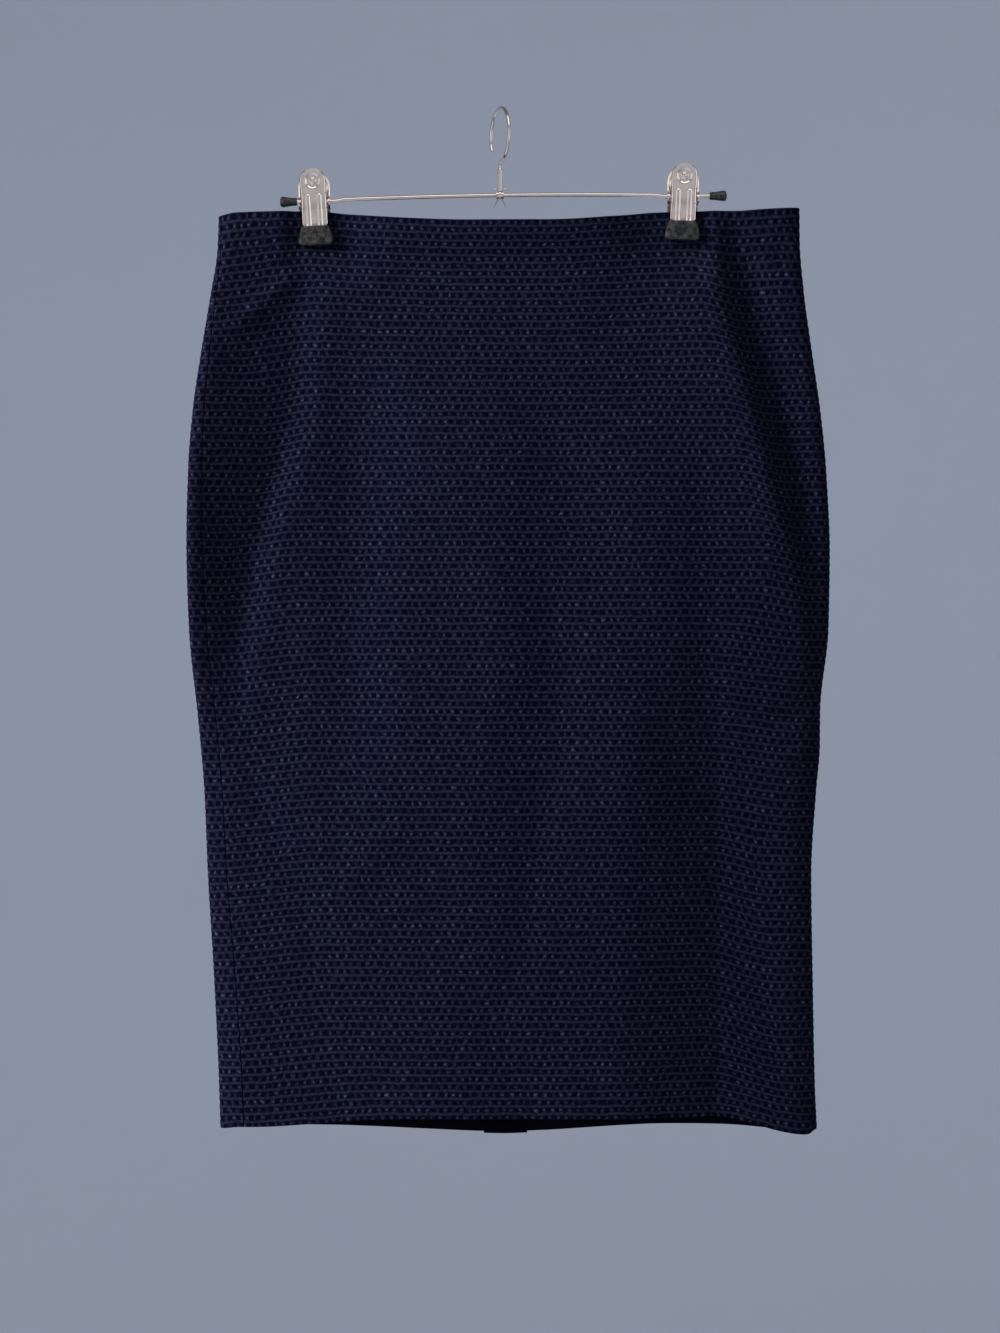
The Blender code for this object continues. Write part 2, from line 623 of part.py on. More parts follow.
def build_underlap():
    """The strip behind the open vent, on the inner face of both back panels."""
    outer, inner = [], []
    face = CLOTH_WALL + SEAM_GAP
    steps = np.linspace(-UNDERLAP_WIDTH, UNDERLAP_TURN, UNDERLAP_COLUMNS + 1)
    for share in np.linspace(0.0, 1.0, UNDERLAP_ROWS + 1):
        down = FRONT_LENGTH - VENT_LENGTH * (1.0 - share)
        loop = section_loop(down)
        places = centre_back_arc(loop) + steps
        outer.append(on_loop(loop, places, face))
        inner.append(on_loop(loop, places, face + CLOTH_WALL))
    outer = np.array(outer)
    inner = np.array(inner)
    outer[-1, :, 2] -= UNDERLAP_DIP
    inner[-1, :, 2] -= UNDERLAP_DIP
    mesh = wall_mesh("vent_underlap", outer, inner)
    return add_object("vent_underlap", mesh, NAVY_KNIT, 0.9, 0.0)


def build_skirt():
    """The front, the two backs and the vent's underlap."""
    build_panel("skirt_front", front_stations)
    build_panel("skirt_back_right", back_right_stations)
    build_panel("skirt_back_left", back_left_stations)
    build_underlap()


# ---- Hanger ----------------------------------------------------------------------------------

def wire(name, points, radii, sides_level, colour, roughness, metallic):
    """A round wire along points in millimetres, as a mesh."""
    curve = bpy.data.curves.new(name + "_path", "CURVE")
    curve.dimensions = "3D"
    curve.bevel_depth = MM
    curve.bevel_resolution = sides_level
    curve.use_fill_caps = True
    spline = curve.splines.new("POLY")
    spline.points.add(len(points) - 1)
    for knot, point, radius in zip(spline.points, points, radii):
        knot.co = (point[0] * MM, point[1] * MM, point[2] * MM, 1.0)
        knot.radius = radius
    guide = bpy.data.objects.new(name + "_path", curve)
    bpy.context.collection.objects.link(guide)
    bpy.context.view_layer.update()
    mesh = bpy.data.meshes.new_from_object(guide.evaluated_get(bpy.context.evaluated_depsgraph_get()))
    bpy.data.objects.remove(guide, do_unlink=True)
    shaper = bmesh.new()
    shaper.from_mesh(mesh)
    bmesh.ops.remove_doubles(shaper, verts=shaper.verts, dist=1e-6)
    bmesh.ops.recalc_face_normals(shaper, faces=shaper.faces)
    shaper.to_mesh(mesh)
    shaper.free()
    mesh.name = name
    return shade_round(add_object(name, mesh, colour, roughness, metallic))


def bar_height(x):
    """Height of the bar's axis at one place along it."""
    raised = 1.0 - soft_step(np.abs(x), BAR_MIDDLE_HALF, BAR_MIDDLE_HALF + BAR_STEP_RUN)
    bow = np.clip(1.0 - (x / BAR_MIDDLE_HALF) ** 2, 0.0, 1.0)
    return BAR_ENDS_Z + x * math.tan(BAR_TILT) + BAR_STEP_DROP * raised + BAR_MIDDLE_BOW * bow


def build_bar():
    """The straight bar, with a small step down to each end."""
    step_share = np.linspace(0.0, 1.0, BAR_STEP_POINTS + 1)
    left = -BAR_MIDDLE_HALF - BAR_STEP_RUN * step_share[::-1]
    middle = np.linspace(-BAR_MIDDLE_HALF, BAR_MIDDLE_HALF, BAR_MIDDLE_SPANS + 1)[1:-1]
    xs = np.concatenate(([BAR_LEFT_END], left, middle, -left[::-1], [BAR_RIGHT_END]))
    points = [(x, 0.0, float(bar_height(x))) for x in xs]
    radii = [BAR_RADIUS] * len(points)
    wire("hanger_bar", points, radii, BAR_ROUNDING, CHROMED_STEEL, 0.18, 1.0)


def build_hook():
    """The stem and the hook, one wire in an upright plane; its crown rests on the rail."""
    reach = HOOK_INNER_RADIUS + HOOK_WIRE_RADIUS
    centre_z = -HOOK_INNER_RADIUS
    arc_x, arc_z = reach * math.cos(HOOK_ARC_START), centre_z + reach * math.sin(HOOK_ARC_START)
    bend_z = arc_z - arc_x * math.tan(math.pi / 2.0 + HOOK_ARC_START)
    foot_z = float(bar_height(0.0)) + SADDLE_RADIUS + SEAM_GAP
    plane = [(0.0, foot_z, HOOK_STEM_RADIUS),
             (0.0, HOOK_STEM_TOP - HOOK_STEM_TAPER, HOOK_STEM_RADIUS),
             (0.0, HOOK_STEM_TOP, HOOK_WIRE_RADIUS)]
    start, knee = Vector((0.0, bend_z - HOOK_BEND)), Vector((0.0, bend_z))
    end = knee + Vector((arc_x, arc_z - bend_z)).normalized() * HOOK_BEND
    for share in np.linspace(0.0, 1.0, HOOK_BEND_SPANS + 1):
        spot = start * (1 - share) ** 2 + knee * 2 * share * (1 - share) + end * share ** 2
        plane.append((spot.x, spot.y, HOOK_WIRE_RADIUS))
    for angle in np.linspace(HOOK_ARC_START, HOOK_ARC_END, HOOK_ARC_SPANS + 1):
        plane.append((reach * math.cos(angle), centre_z + reach * math.sin(angle), HOOK_WIRE_RADIUS))
    turn = Matrix.Rotation(HOOK_TURN, 3, "Z")
    points = [tuple(turn @ Vector((out, 0.0, height))) for out, height, _ in plane]
    radii = [radius for _, _, radius in plane]
    wire("hanger_hook", points, radii, HOOK_ROUNDING, CHROMED_STEEL, 0.18, 1.0)


def turned_along_x(name, outline, steps):
    """A closed solid turned about the X axis; outline holds (x, radius) and closes on itself."""
    mesh = bpy.data.meshes.new(name)
    shaper = bmesh.new()
    rings = []
    for step in range(steps):
        angle = 2.0 * math.pi * step / steps
        rings.append([shaper.verts.new(Vector((x, radius * math.cos(angle), radius * math.sin(angle)))
                                       * MM) for x, radius in outline])
    for step in range(steps):
        this, following = rings[step], rings[(step + 1) % steps]
        for k in range(len(outline)):
            shaper.faces.new((this[k], this[(k + 1) % len(outline)],
                              following[(k + 1) % len(outline)], following[k]))
    bmesh.ops.remove_doubles(shaper, verts=shaper.verts, dist=1e-6)
    bmesh.ops.dissolve_degenerate(shaper, dist=1e-7, edges=shaper.edges)
    bmesh.ops.recalc_face_normals(shaper, faces=shaper.faces)
    shaper.to_mesh(mesh)
    shaper.free()
    return mesh


def cut(thing, cutter):
    """Cut one object by another, then remove the cutter."""
    change = thing.modifiers.new("cut", "BOOLEAN")
    change.operation = "DIFFERENCE"
    change.solver = "EXACT"
    change.object = cutter
    apply_changes(thing)
    bpy.data.objects.remove(cutter, do_unlink=True)


def join(thing, other):
    """Unite one object with another, then remove the other."""
    change = thing.modifiers.new("join", "BOOLEAN")
    change.operation = "UNION"
    change.solver = "EXACT"
    change.object = other
    apply_changes(thing)
    bpy.data.objects.remove(other, do_unlink=True)


def apply_changes(thing):
    """Turn the evaluated shape into the object's own mesh."""
    bpy.context.view_layer.update()
    evaluated = thing.evaluated_get(bpy.context.evaluated_depsgraph_get())
    mesh = bpy.data.meshes.new_from_object(evaluated)
    thing.modifiers.clear()
    thing.data = mesh


def loose_object(name, mesh):
    """An object that only shapes another one."""
    thing = bpy.data.objects.new(name, mesh)
    thing.hide_render = True
    thing.display_type = "WIRE"
    bpy.context.collection.objects.link(thing)
    return thing


def build_caps():
    """The rubber caps pushed on to the ends of the bar, each open at its inner end."""
    bore = BAR_RADIUS + BAR_CLEARANCE
    for name, end, side in (("left", BAR_LEFT_END, -1.0), ("right", BAR_RIGHT_END, 1.0)):
        inner_end = end - side * CAP_OVER_BAR
        outline = [(inner_end + side * share * CAP_LENGTH, radius) for share, radius in CAP_WIDTHS]
        outline.append((inner_end + side * CAP_LENGTH, 0.0))
        outline.append((end + side * BAR_CLEARANCE, 0.0))
        outline.append((end + side * BAR_CLEARANCE, bore))
        outline.append((inner_end, bore))
        mesh = turned_along_x("end_cap_" + name, outline, CAP_SIDES)
        lift = Matrix.Translation((0.0, 0.0, float(bar_height(end)) * MM))
        slope = Matrix.Rotation(-BAR_TILT, 4, "Y")
        shift = Matrix.Translation((end * MM, 0.0, 0.0))
        mesh.transform(lift @ shift @ slope @ shift.inverted())
        shade_round(add_object("end_cap_" + name, mesh, BLACK_RUBBER, 0.55, 0.0))


def ear_mesh(lean, length, root, tip):
    """One flat ear of the saddle, tapering outwards from the bar."""
    lean = math.radians(lean)
    lowest = BAR_RADIUS + BAR_CLEARANCE + SADDLE_EAR_LIFT
    start = (lowest + root / 2.0 * abs(math.sin(lean))) / abs(math.cos(lean))
    mesh = bpy.data.meshes.new("ear")
    shaper = bmesh.new()
    bmesh.ops.create_cube(shaper, size=1.0)
    for corner in shaper.verts:
        far = corner.co.z > 0.0
        corner.co = Vector((corner.co.x * (tip if far else root), corner.co.y * SADDLE_EAR_WIDTH,
                            start + (length if far else 0.0))) * MM
    shaper.to_mesh(mesh)
    shaper.free()
    mesh.transform(Matrix.Rotation(lean, 4, "Y"))
    return mesh


def build_saddle():
    """The collar crimped round the bar under the stem, with its four splayed ears."""
    half = SADDLE_LENGTH / 2.0
    bore = BAR_RADIUS + BAR_CLEARANCE
    outline = [(-half, bore), (-half, SADDLE_RADIUS), (half, SADDLE_RADIUS), (half, bore)]
    mesh = turned_along_x("hook_saddle", outline, SADDLE_SIDES)
    saddle = add_object("hook_saddle", mesh, CHROMED_STEEL, 0.25, 1.0)
    for ear in SADDLE_EARS:
        join(saddle, loose_object("ear", ear_mesh(*ear)))
    lift = Matrix.Translation((0.0, 0.0, float(bar_height(0.0)) * MM))
    saddle.data.transform(lift @ Matrix.Rotation(-BAR_TILT, 4, "Y"))
    shade_round(saddle)


def stack_rings(shaper, rings):
    """Join rings of equal count into one closed body with flat ends."""
    count = len(rings[0])
    for this, following in zip(rings[:-1], rings[1:]):
        for k in range(count):
            shaper.faces.new((this[k], this[(k + 1) % count], following[(k + 1) % count], following[k]))
    shaper.faces.new(rings[0])
    shaper.faces.new(rings[-1])


def plate_mesh(name, side, half_width):
    """A pressed steel plate: side is -1 for the front plate and 1 for the rear one.

    Every ring is the same bent strip, so the sides turn in round the bar as ears.
    """
    thickness, corner, inner_corner = PLATE_THICKNESS, PLATE_CORNER, PLATE_INNER_CORNER
    rows = []
    for height, stand, edge in PLATE_PROFILE:
        wide = JAW_HALF if height < PLATE_NECK else half_width
        rows.append((height, stand, edge, wide))
    top_centre = PLATE_TOP - half_width
    first_height, first_stand = PLATE_PROFILE[-1][:2]
    for angle in PLATE_TOP_ANGLES:
        height = top_centre + half_width * math.sin(math.radians(angle))
        share = (height - first_height) / (PLATE_TOP - first_height)
        stand = first_stand + (PLATE_TOP_STAND - first_stand) * share
        rows.append((height, stand, PLATE_TOP_EDGE, half_width * math.cos(math.radians(angle))))
    mesh = bpy.data.meshes.new(name)
    shaper = bmesh.new()
    rings = []
    for height, stand, edge, wide in rows:
        strip = [(-wide, stand - edge), (-wide, stand - corner), (-wide + corner, stand),
                 (wide - corner, stand), (wide, stand - corner), (wide, stand - edge),
                 (wide - thickness, stand - edge),
                 (wide - thickness, stand - thickness - inner_corner),
                 (wide - thickness - inner_corner, stand - thickness),
                 (-wide + thickness + inner_corner, stand - thickness),
                 (-wide + thickness, stand - thickness - inner_corner),
                 (-wide + thickness, stand - edge)]
        rings.append([shaper.verts.new(Vector((x, side * out, height)) * MM) for x, out in strip])
    stack_rings(shaper, rings)
    bmesh.ops.triangulate(shaper, faces=shaper.faces)
    bmesh.ops.recalc_face_normals(shaper, faces=shaper.faces)
    shaper.to_mesh(mesh)
    shaper.free()
    return mesh


def bar_hole(place):
    """A cutter for the hole that lets the bar through a plate's ears."""
    mesh = bpy.data.meshes.new("bar_hole")
    shaper = bmesh.new()
    bore = (BAR_RADIUS + BAR_CLEARANCE) * MM
    bmesh.ops.create_cone(shaper, cap_ends=True, segments=PLATE_HOLE_SIDES, radius1=bore,
                          radius2=bore, depth=PLATE_HOLE_LENGTH * MM)
    shaper.to_mesh(mesh)
    shaper.free()
    mesh.transform(place @ Matrix.Rotation(math.pi / 2.0, 4, "Y"))
    return loose_object("bar_hole", mesh)


def pad_outline():
    """Half of a pad's outline, from its top corner down to the middle of its foot."""
    points = [(PAD_TOP_HALF - PAD_TOP_CORNER, PAD_TOP), (PAD_TOP_HALF, PAD_TOP - PAD_TOP_CORNER)]
    centre_x, centre_z = PAD_FOOT_HALF - PAD_CORNER, PAD_FOOT + PAD_CORNER
    for angle in (0.0, -30.0, -60.0, -90.0):
        points.append((centre_x + PAD_CORNER * math.cos(math.radians(angle)),
                       centre_z + PAD_CORNER * math.sin(math.radians(angle))))
    return points


def pad_mesh(name, side):
    """A rubber pad: the face on the cloth is flat, the outer edges are rounded off."""
    face = PINCHED_HALF + SEAM_GAP
    half = pad_outline()
    whole = half + [(-x, z) for x, z in reversed(half)]
    middle_z = (PAD_TOP + PAD_FOOT) / 2.0
    mesh = bpy.data.meshes.new(name)
    shaper = bmesh.new()
    rings = []
    for out, inset in PAD_LAYERS:
        ring = []
        for x, z in whole:
            shrink_x = 1.0 - inset / PAD_FOOT_HALF
            shrink_z = 1.0 - 2.0 * inset / (PAD_TOP - PAD_FOOT)
            point = Vector((x * shrink_x, side * (face + out), middle_z + (z - middle_z) * shrink_z))
            ring.append(shaper.verts.new(point * MM))
        rings.append(ring)
    stack_rings(shaper, rings)
    bmesh.ops.recalc_face_normals(shaper, faces=shaper.faces)
    shaper.to_mesh(mesh)
    shaper.free()
    return mesh


def jaw_pocket(side, place):
    """A cutter for the slot in a pad that takes the foot of its plate."""
    _, stand, edge = PLATE_PROFILE[0]
    top_stand = PLATE_PROFILE[1][1]
    near, far = stand - edge - PAD_CLEARANCE, top_stand + PAD_CLEARANCE
    low, high = PLATE_FOOT - PAD_CLEARANCE, PAD_TOP + PAD_SLOT_RISE
    mesh = bpy.data.meshes.new("jaw_pocket")
    shaper = bmesh.new()
    bmesh.ops.create_cube(shaper, size=1.0)
    for corner in shaper.verts:
        corner.co = Vector((corner.co.x * 2.0 * (JAW_HALF + PAD_CLEARANCE),
                            side * (near + far) / 2.0 + corner.co.y * (far - near),
                            (low + high) / 2.0 + corner.co.z * (high - low))) * MM
    shaper.to_mesh(mesh)
    shaper.free()
    mesh.transform(place)
    return loose_object("jaw_pocket", mesh)


def build_spring(name, place):
    """The coil spring round the bar; its two legs press the handles of the plates apart."""
    points = []
    first, last = PLATE_PROFILE[-1][:2], (PLATE_TOP, PLATE_TOP_STAND)
    share = (SPRING_LEG_HEIGHT - first[0]) / (last[0] - first[0])
    stand = first[1] + (last[1] - first[1]) * share
    leg_y = stand - PLATE_THICKNESS - SPRING_LEG_GAP - SPRING_WIRE_RADIUS
    points.append((-SPRING_HALF_LENGTH, -leg_y, SPRING_LEG_HEIGHT))
    points.append((-SPRING_HALF_LENGTH, -SPRING_RADIUS - SPRING_LEG_BEND, SPRING_RADIUS))
    steps = int(SPRING_TURNS * SPRING_STEPS_A_TURN)
    for step in range(steps + 1):
        share = step / steps
        angle = math.pi - 2.0 * math.pi * SPRING_TURNS * share
        points.append((SPRING_HALF_LENGTH * (2.0 * share - 1.0), SPRING_RADIUS * math.cos(angle),
                       -SPRING_RADIUS * math.sin(angle)))
    points.append((SPRING_HALF_LENGTH, SPRING_RADIUS + SPRING_LEG_BEND, SPRING_RADIUS))
    points.append((SPRING_HALF_LENGTH, leg_y, SPRING_LEG_HEIGHT))
    placed = [tuple((place @ (Vector(point) * MM)) / MM) for point in points]
    wire(name, placed, [SPRING_WIRE_RADIUS] * len(placed), 1, CHROMED_STEEL, 0.3, 1.0)


def build_clips():
    """Both spring clips, each turned to the lean at which it hangs."""
    plates = (("front", -1.0, FRONT_PLATE_HALF), ("rear", 1.0, REAR_PLATE_HALF))
    for name, x, lean in CLIPS:
        lift = Matrix.Translation((x * MM, 0.0, float(bar_height(x)) * MM))
        place = lift @ Matrix.Rotation(-math.radians(lean), 4, "Y")
        bar_place = lift @ Matrix.Rotation(-BAR_TILT, 4, "Y")
        for plate, side, half_width in plates:
            mesh = plate_mesh("clip_%s_%s_plate" % (name, plate), side, half_width)
            mesh.transform(place)
            thing = add_object(mesh.name, mesh, CHROMED_STEEL, 0.2, 1.0)
            cut(thing, bar_hole(bar_place))
            shade_round(thing)
            mesh = pad_mesh("clip_%s_%s_pad" % (name, plate), side)
            mesh.transform(place)
            thing = add_object(mesh.name, mesh, BLACK_RUBBER, 0.6, 0.0)
            cut(thing, jaw_pocket(side, place))
            shade_round(thing)
        build_spring("clip_%s_spring" % name, place)


clear_scene()
build_skirt()
build_bar()
build_hook()
build_saddle()
build_caps()
build_clips()
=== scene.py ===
"""Looks of a knee-length pencil skirt of jacquard knit that hangs from a chromed two-clip hanger.

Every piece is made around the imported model, in its frame: metres, +Z up, the front faces -Y, and
the origin is the underside of the hook's crown. Sizes are in millimetres until a mesh is made.
"""
import math

import bmesh
import bpy
import numpy as np
from mathutils import Matrix, Vector


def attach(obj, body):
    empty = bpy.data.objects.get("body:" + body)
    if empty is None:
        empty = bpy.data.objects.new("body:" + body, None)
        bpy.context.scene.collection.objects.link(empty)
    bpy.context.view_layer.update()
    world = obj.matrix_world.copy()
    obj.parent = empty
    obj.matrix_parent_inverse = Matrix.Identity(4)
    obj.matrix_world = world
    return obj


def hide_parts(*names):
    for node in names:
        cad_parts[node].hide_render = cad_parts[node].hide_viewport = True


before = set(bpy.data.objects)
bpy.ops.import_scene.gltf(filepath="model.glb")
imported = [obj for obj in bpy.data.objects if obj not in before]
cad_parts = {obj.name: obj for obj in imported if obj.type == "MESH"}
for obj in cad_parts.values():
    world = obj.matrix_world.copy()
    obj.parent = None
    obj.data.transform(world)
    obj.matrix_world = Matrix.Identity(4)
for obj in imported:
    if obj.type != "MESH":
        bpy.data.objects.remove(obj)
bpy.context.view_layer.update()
MM = 0.001


# ==== Studio ==================================================================================
# A pale matt floor that sweeps up into a wall all round, a large soft light at the front left, weaker
# ones at the right, overhead and behind, an even pale sky, and pale cards that only the metal
# mirrors. None of it belongs to the object.

FLOOR_LEVEL = -2.1
FLOOR_RADIUS = 3.5
FLOOR_MIDDLE_RADIUS = 1.5
FLOOR_SIDES = 96
SWEEP_RADIUS = 1.3
SWEEP_STEPS = 12
WALL_HEIGHT = 4.6
FLOOR_PAINT = "#B1B8C5"
FLOOR_PAINT_PALE = "#B4BBC8"
SKY = "#E6EAF2"
SKY_STRENGTH = 0.2
LIGHTS = (
    # name, place, width, height, power in watts, colour, lights the cloth, shines in the metal
    ("key_light", (-2.75, -1.0, 1.1), 1.5, 1.5, 225.0, "#FFFFFF", True, False),
    ("side_light", (2.3, -1.6, 0.3), 1.2, 1.2, 1.5, "#FFFFFF", True, False),
    ("top_light", (-0.2, -1.0, 1.7), 0.8, 0.8, 1.5, "#FFFFFF", True, False),
    ("back_light", (1.2, 1.6, 0.2), 0.8, 0.8, 36.0, "#FFFFFF", True, False),
    ("front_card", (0.0, -3.2, -0.9), 1.3, 1.5, 1.5, "#FFEFE2", False, True),
    ("left_card", (-2.3, -1.7, -0.2), 2.2, 2.4, 14.0, "#FFF4EA", False, True),
    ("right_card", (2.4, -1.5, -0.2), 2.0, 2.4, 14.0, "#FFF4EA", False, True),
    ("top_card", (0.0, -1.2, 1.5), 3.0, 1.5, 19.0, "#FFF8F2", False, True),
)
LIT_SPOT = (0.0, 0.0, -0.36)
CAMERA_DISTANCE = 2.0
CAMERA_HEIGHT = -0.3729
FRAME_HEIGHT = 0.8931           # what the picture takes in at the skirt, from top to bottom
SENSOR = 36.0                   # the long side of the picture on the sensor


def to_linear(code):
    """A colour given as sRGB hex, as linear RGBA."""
    parts = [int(code[i:i + 2], 16) / 255.0 for i in (1, 3, 5)]
    return [p / 12.92 if p <= 0.04045 else ((p + 0.055) / 1.055) ** 2.4 for p in parts] + [1.0]


def add_node(tree, kind, inputs=None, **settings):
    """Add a node with its settings; an input is a value or the socket that it is linked from."""
    node = tree.nodes.new(kind)
    for name, value in settings.items():
        setattr(node, name, value)
    for key, value in (inputs or {}).items():
        if isinstance(value, bpy.types.NodeSocket):
            tree.links.new(value, node.inputs[key])
        else:
            node.inputs[key].default_value = value
    return node


def new_material(name):
    """A material with an empty tree, its output and a Principled shader."""
    material = bpy.data.materials.new(name)
    material.use_nodes = True
    tree = material.node_tree
    tree.nodes.clear()
    shader = add_node(tree, "ShaderNodeBsdfPrincipled")
    add_node(tree, "ShaderNodeOutputMaterial", {"Surface": shader.outputs["BSDF"]})
    return material, tree, shader


def mesh_object(name, vertices, faces):
    """An object at the origin from vertices in millimetres and faces, shaded smooth."""
    mesh = bpy.data.meshes.new(name)
    mesh.from_pydata([tuple(v) for v in np.asarray(vertices, dtype=float) * MM], [], faces)
    mesh.shade_smooth()
    thing = bpy.data.objects.new(name, mesh)
    bpy.context.collection.objects.link(thing)
    return thing


def studio_paint():
    """Matt wall paint: one pale colour, no shine, faint roller texture."""
    material, tree, shader = new_material("matt_wall_paint")
    place = add_node(tree, "ShaderNodeTexCoord")
    mottle = add_node(tree, "ShaderNodeTexNoise", {"Vector": place.outputs["Object"], "Scale": 1.5})
    colour = add_node(tree, "ShaderNodeMix", {"Factor": mottle.outputs["Fac"],
                                              6: to_linear(FLOOR_PAINT), 7: to_linear(FLOOR_PAINT_PALE)},
                      data_type="RGBA")
    tree.links.new(colour.outputs[2], shader.inputs["Base Color"])
    shader.inputs["Roughness"].default_value = 0.95
    return material


def build_studio():
    """The floor with its sweep, the lights, the sky and the camera."""
    profile = [(0.0, FLOOR_LEVEL), (FLOOR_MIDDLE_RADIUS, FLOOR_LEVEL), (FLOOR_RADIUS, FLOOR_LEVEL)]
    for turn in np.linspace(0.0, math.pi / 2.0, SWEEP_STEPS + 1)[1:]:
        profile.append((FLOOR_RADIUS + SWEEP_RADIUS * math.sin(turn),
                        FLOOR_LEVEL + SWEEP_RADIUS * (1.0 - math.cos(turn))))
    profile.append((FLOOR_RADIUS + SWEEP_RADIUS, FLOOR_LEVEL + WALL_HEIGHT))
    vertices = [(0.0, 0.0, FLOOR_LEVEL / MM)]
    for out, height in profile[1:]:
        for step in range(FLOOR_SIDES):
            angle = 2.0 * math.pi * step / FLOOR_SIDES
            vertices.append((out * math.cos(angle) / MM, out * math.sin(angle) / MM, height / MM))
    faces = [(0, 1 + step, 1 + (step + 1) % FLOOR_SIDES) for step in range(FLOOR_SIDES)]
    for ring in range(len(profile) - 2):
        first, second = 1 + ring * FLOOR_SIDES, 1 + (ring + 1) * FLOOR_SIDES
        for step in range(FLOOR_SIDES):
            ahead = (step + 1) % FLOOR_SIDES
            faces.append((first + step, second + step, second + ahead, first + ahead))
    floor = mesh_object("studio_floor", vertices, faces)
    floor.data.materials.append(studio_paint())

    for name, place, width, height, power, tone, lights_cloth, shines_in_metal in LIGHTS:
        lamp = bpy.data.lights.new(name, "AREA")
        lamp.shape = "RECTANGLE"
        lamp.size = width
        lamp.size_y = height
        lamp.energy = power
        lamp.color = to_linear(tone)[:3]
        light = bpy.data.objects.new(name, lamp)
        light.location = place
        aim = Vector(LIT_SPOT) - Vector(place)
        light.rotation_euler = aim.to_track_quat("-Z", "Y").to_euler()
        light.visible_camera = False
        light.visible_diffuse = lights_cloth
        light.visible_glossy = shines_in_metal
        bpy.context.collection.objects.link(light)

    world = bpy.data.worlds.new("pale_sky")
    world.use_nodes = True
    world.node_tree.nodes["Background"].inputs["Color"].default_value = to_linear(SKY)
    world.node_tree.nodes["Background"].inputs["Strength"].default_value = SKY_STRENGTH
    bpy.context.scene.world = world

    lens = bpy.data.cameras.new("front_camera")
    lens.sensor_width = SENSOR
    lens.lens = SENSOR * CAMERA_DISTANCE / FRAME_HEIGHT
    lens.dof.use_dof = False
    camera = bpy.data.objects.new("front_camera", lens)
    camera.location = (0.0, -CAMERA_DISTANCE, CAMERA_HEIGHT)
    camera.rotation_euler = (math.pi / 2.0, 0.0, 0.0)
    bpy.context.collection.objects.link(camera)
    bpy.context.scene.camera = camera
    bpy.context.scene.view_settings.view_transform = "Standard"


build_studio()


# ==== Front panel =============================================================================
# One piece of double jacquard knit, cut on the fold, held flat by the two clips and hanging free
# below them. Its edges are turned in at the side seams, the waist and the hem, so all are rounded.

CLOTH_WALL = 1.5
WAIST_LEVEL = -70.0
LENGTH = 603.0
PINCHED_HALF = 1.9              # half of the two layers between the pads of a clip
RIB_PITCH = 5.08                # from one cross rib of the knit to the next
RIB_HEIGHT = 0.16
ROWS_A_RIB = 4
EDGE_ROUND = 0.75               # the turned edges are rounded to half the cloth
EDGE_ROWS = 4                   # rows of points that round one edge
INNER_INSET = 0.3               # how far inside the edges the inner face ends, across
INNER_INSET_DOWN = 0.2          # and down
SEAM_GAP = 0.12

# Each row is a level section, "down" millimetres below the waist edge. left and right are the outer
# faces of the side folds; front and back are how far each side bows past them; fold is the radius of
# the side folds; seam is how far round them the seams lie, because the skirt is turned a little.
SECTIONS = (
    # down, left,  right, front, back, fold, seam
    (0.0, -188.3, 201.1, 2.4, 2.5, 3.8, 3.5),
    (19.0, -188.9, 201.3, 2.8, 3.5, 3.8, 4.0),
    (46.0, -192.8, 203.9, 3.4, 5.5, 4.0, 5.5),
    (86.0, -198.8, 209.6, 4.4, 8.0, 4.2, 7.5),
    (126.0, -204.0, 215.4, 5.4, 10.5, 4.5, 9.5),
    (166.0, -207.1, 219.2, 6.6, 12.5, 4.8, 11.0),
    (220.0, -208.3, 221.6, 8.4, 14.5, 5.0, 12.5),
    (273.0, -207.0, 220.6, 10.2, 15.5, 5.0, 13.5),
    (327.0, -202.0, 215.1, 11.6, 16.0, 5.0, 14.0),
    (350.0, -199.9, 214.9, 12.4, 16.2, 5.1, 14.2),
    (380.0, -197.5, 212.4, 13.4, 16.5, 5.2, 14.5),
    (434.0, -195.2, 209.2, 14.6, 17.0, 5.4, 15.5),
    (500.0, -191.2, 210.2, 15.8, 18.0, 5.6, 17.5),
    (567.0, -187.9, 211.6, 16.8, 19.0, 5.8, 19.0),
    (603.0, -186.7, 213.1, 17.2, 20.0, 6.0, 19.5),
)
SECTION_COLUMNS = ("down", "left", "right", "front", "back", "fold", "seam")

# Past the folds that run down from the clips the left side swings forward and the right one back.
FLAPS = (
    # down, left start, left swing, right start, right swing
    (0.0, -137.0, 1.0, 133.0, -4.0),
    (46.0, -132.0, 9.0, 143.0, -5.0),
    (86.0, -134.0, 14.5, 156.0, -5.5),
    (130.0, -138.0, 18.0, 170.0, -5.0),
    (190.0, -154.0, 19.0, 180.0, -5.0),
    (235.0, -166.0, 16.5, 176.0, -5.0),
    (290.0, -173.0, 12.0, 160.0, -4.5),
    (365.0, -165.0, 6.0, 150.0, -5.0),
    (480.0, -125.0, 6.5, 142.0, -6.0),
    (603.0, -105.0, 7.0, 142.0, -7.0),
)
FLAP_COLUMNS = ("down", "left_start", "left_swing", "right_start", "right_swing")
FLAP_POWER = 1.1

# The ridge and the valley that run down and out from each clip to the hip.
CLIP_FOLDS = (
    # down, left ridge, left valley, right ridge, right valley
    (0.0, -108.0, -141.0, 124.0, 146.0),
    (30.0, -109.0, -140.0, 132.0, 154.0),
    (60.0, -112.0, -141.0, 143.0, 165.0),
    (130.0, -118.0, -144.0, 166.0, 188.0),
    (190.0, -134.0, -160.0, 184.0, 206.0),
    (235.0, -147.0, -172.0, 195.0, 213.0),
    (290.0, -158.0, -182.0, 203.0, 214.0),
    (365.0, -172.0, -192.0, 206.0, 213.0),
)
CLIP_FOLD_COLUMNS = ("down", "left_ridge", "left_valley", "right_ridge", "right_valley")

